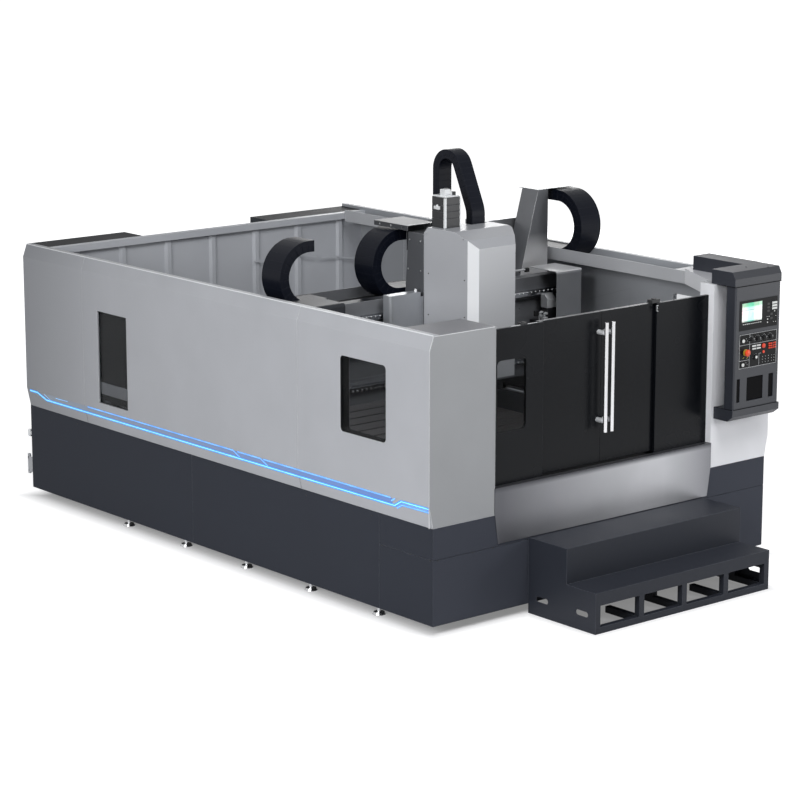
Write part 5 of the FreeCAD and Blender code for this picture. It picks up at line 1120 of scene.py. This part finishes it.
keep(box(1118, 1892, 1752, 1228, 1968, 1842, 0.004), "fitting_block", motor_paint, "motor_black", "gantry")
fit = []
for i, (x, y, z, r) in enumerate(((1100, 1900, 1800, 0.011), (1104, 1925, 1776, 0.013), (1096, 1948, 1806, 0.009),
                                  (1098, 1896, 1764, 0.009), (1102, 1960, 1770, 0.011))):
    nut = [(0, r), (0.3, r), (0.3, r * 1.35), (0.55, r * 1.35), (0.55, r * 0.8), (0.95, r * 0.8), (1, r * 0.6)]
    fit.append(rod(x + 18, y, z, x - 22, y, z, nut, 6 if i % 2 else 16, False))
    fit.append(rod(x - 14, y, z + 2, x - 14, y, z - 30, [(0, r * 0.7), (1, r * 0.7)], 12, False))
keep(joined(fit), "chrome_fittings", bright_block, "rail_steel", "gantry")
keep(boxes((1530, 2478, 2690, 1738, 2494, 2772, 0.003), (1545, 2494, 2676, 1560, 2500, 2692, 0.002),
           (1600, 2494, 2676, 1615, 2500, 2692, 0.002)),
     "long_chain_clamp", knob_plastic, "chain_plastic", "gantry")
fold_grey = coated("fold_grey", (150, 153, 158), 0.45, depth=0.05, rim_size=0.0005)
paths = (((1556, 900), (1556, 1990), (2101, 1813), (2072, 1642), (1910, 1578)), ((2700, 900), (2700, 2200)),
         ((3900, 900), (3900, 2200)))
seams = [drawn([(1751.2, behind, z) for behind, z in path], to_left, 0.004, 0.0006) for path in paths]
keep(joined(seams), "right_wall_seams", fold_grey, "inner_grey")
paths = (((914, 1980), (972, 1918), (1170, 1866)), ((1232, 1853), (1422, 1847), (1542, 1820), (1670, 1800)),
         ((440, 1905), (600, 1890)))
bars = [drawn([(x, 5096.6, z) for x, z in path], to_front, 0.016, 0.001) for path in paths]
keep(joined(bars), "back_wall_bars", inside_coat, "inner_grey")
pipe = [rod(-1744, 5447, 560, -1744, 5496, 560, [(0, 0.024), (0.2, 0.024), (0.2, 0.016), (1, 0.016)], 20),
        rod(-1744, 5503, 586, -1744, 5503, 524, [(0, 0.018), (0.3, 0.021), (0.85, 0.021), (1, 0.016)], 20)]
keep(joined(pipe), "rear_pipe_elbow", zinc, "foot_steel")
keep(boxes((-1766, 5447, 205, -1758, 5524, 345, 0.003), (-1766, 5500, 186, -1742, 5525, 222, 0.005),
           (-1766, 5500, 316, -1742, 5525, 366, 0.005)), "rear_hook_plate", trough_coat, "foot_steel")
backing = box(-1779, 3862, 1028, -1775, 4313, 1838, 0.001, 1)
keep(backing, "rear_window_backing", knob_plastic, "pane_dark")
chest_grey = coated("chest_grey", (104, 106, 110), 0.4, depth=0.1, metal=0.2)
painted_light_and_tone(chest_grey, (52, 53, 56), along=("Z", 1.11, 1.09))
keep(boxes((-1784, 3900, 1115, -1778, 4290, 1218, 0.002), (-1784, 3920, 1040, -1778, 4000, 1062, 0.002),
           (-1783, 4150, 1040, -1778, 4250, 1070, 0.002)), "rear_window_box", chest_grey, "panel_mid")
# A dark sheet in the tray's empty left part: a painted shade inside the tray.
keep(box(-1330, 2137, 2053.1, -300, 2419, 2053.8, 0), "tray_painted_shade", knob_plastic, "chain_plastic", "gantry")
# A thin bright strip on the shelf's top edge: a painted highlight.
keep(box(-330, 1993, 2675, -42, 2001, 2678, 0.0008), "shelf_edge_highlight", zinc, "rail_steel", "saddle")
post = rod(-322, 1910, 2150, -322, 1910, 2172, [(0, 0.011), (0.7, 0.011), (1, 0.008)], 16)
keep(post, "side_box_plug", white_plug, "cover_grey", "saddle")
print("rail screws", 2 * len(row))

# %% Finish
low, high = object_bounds()
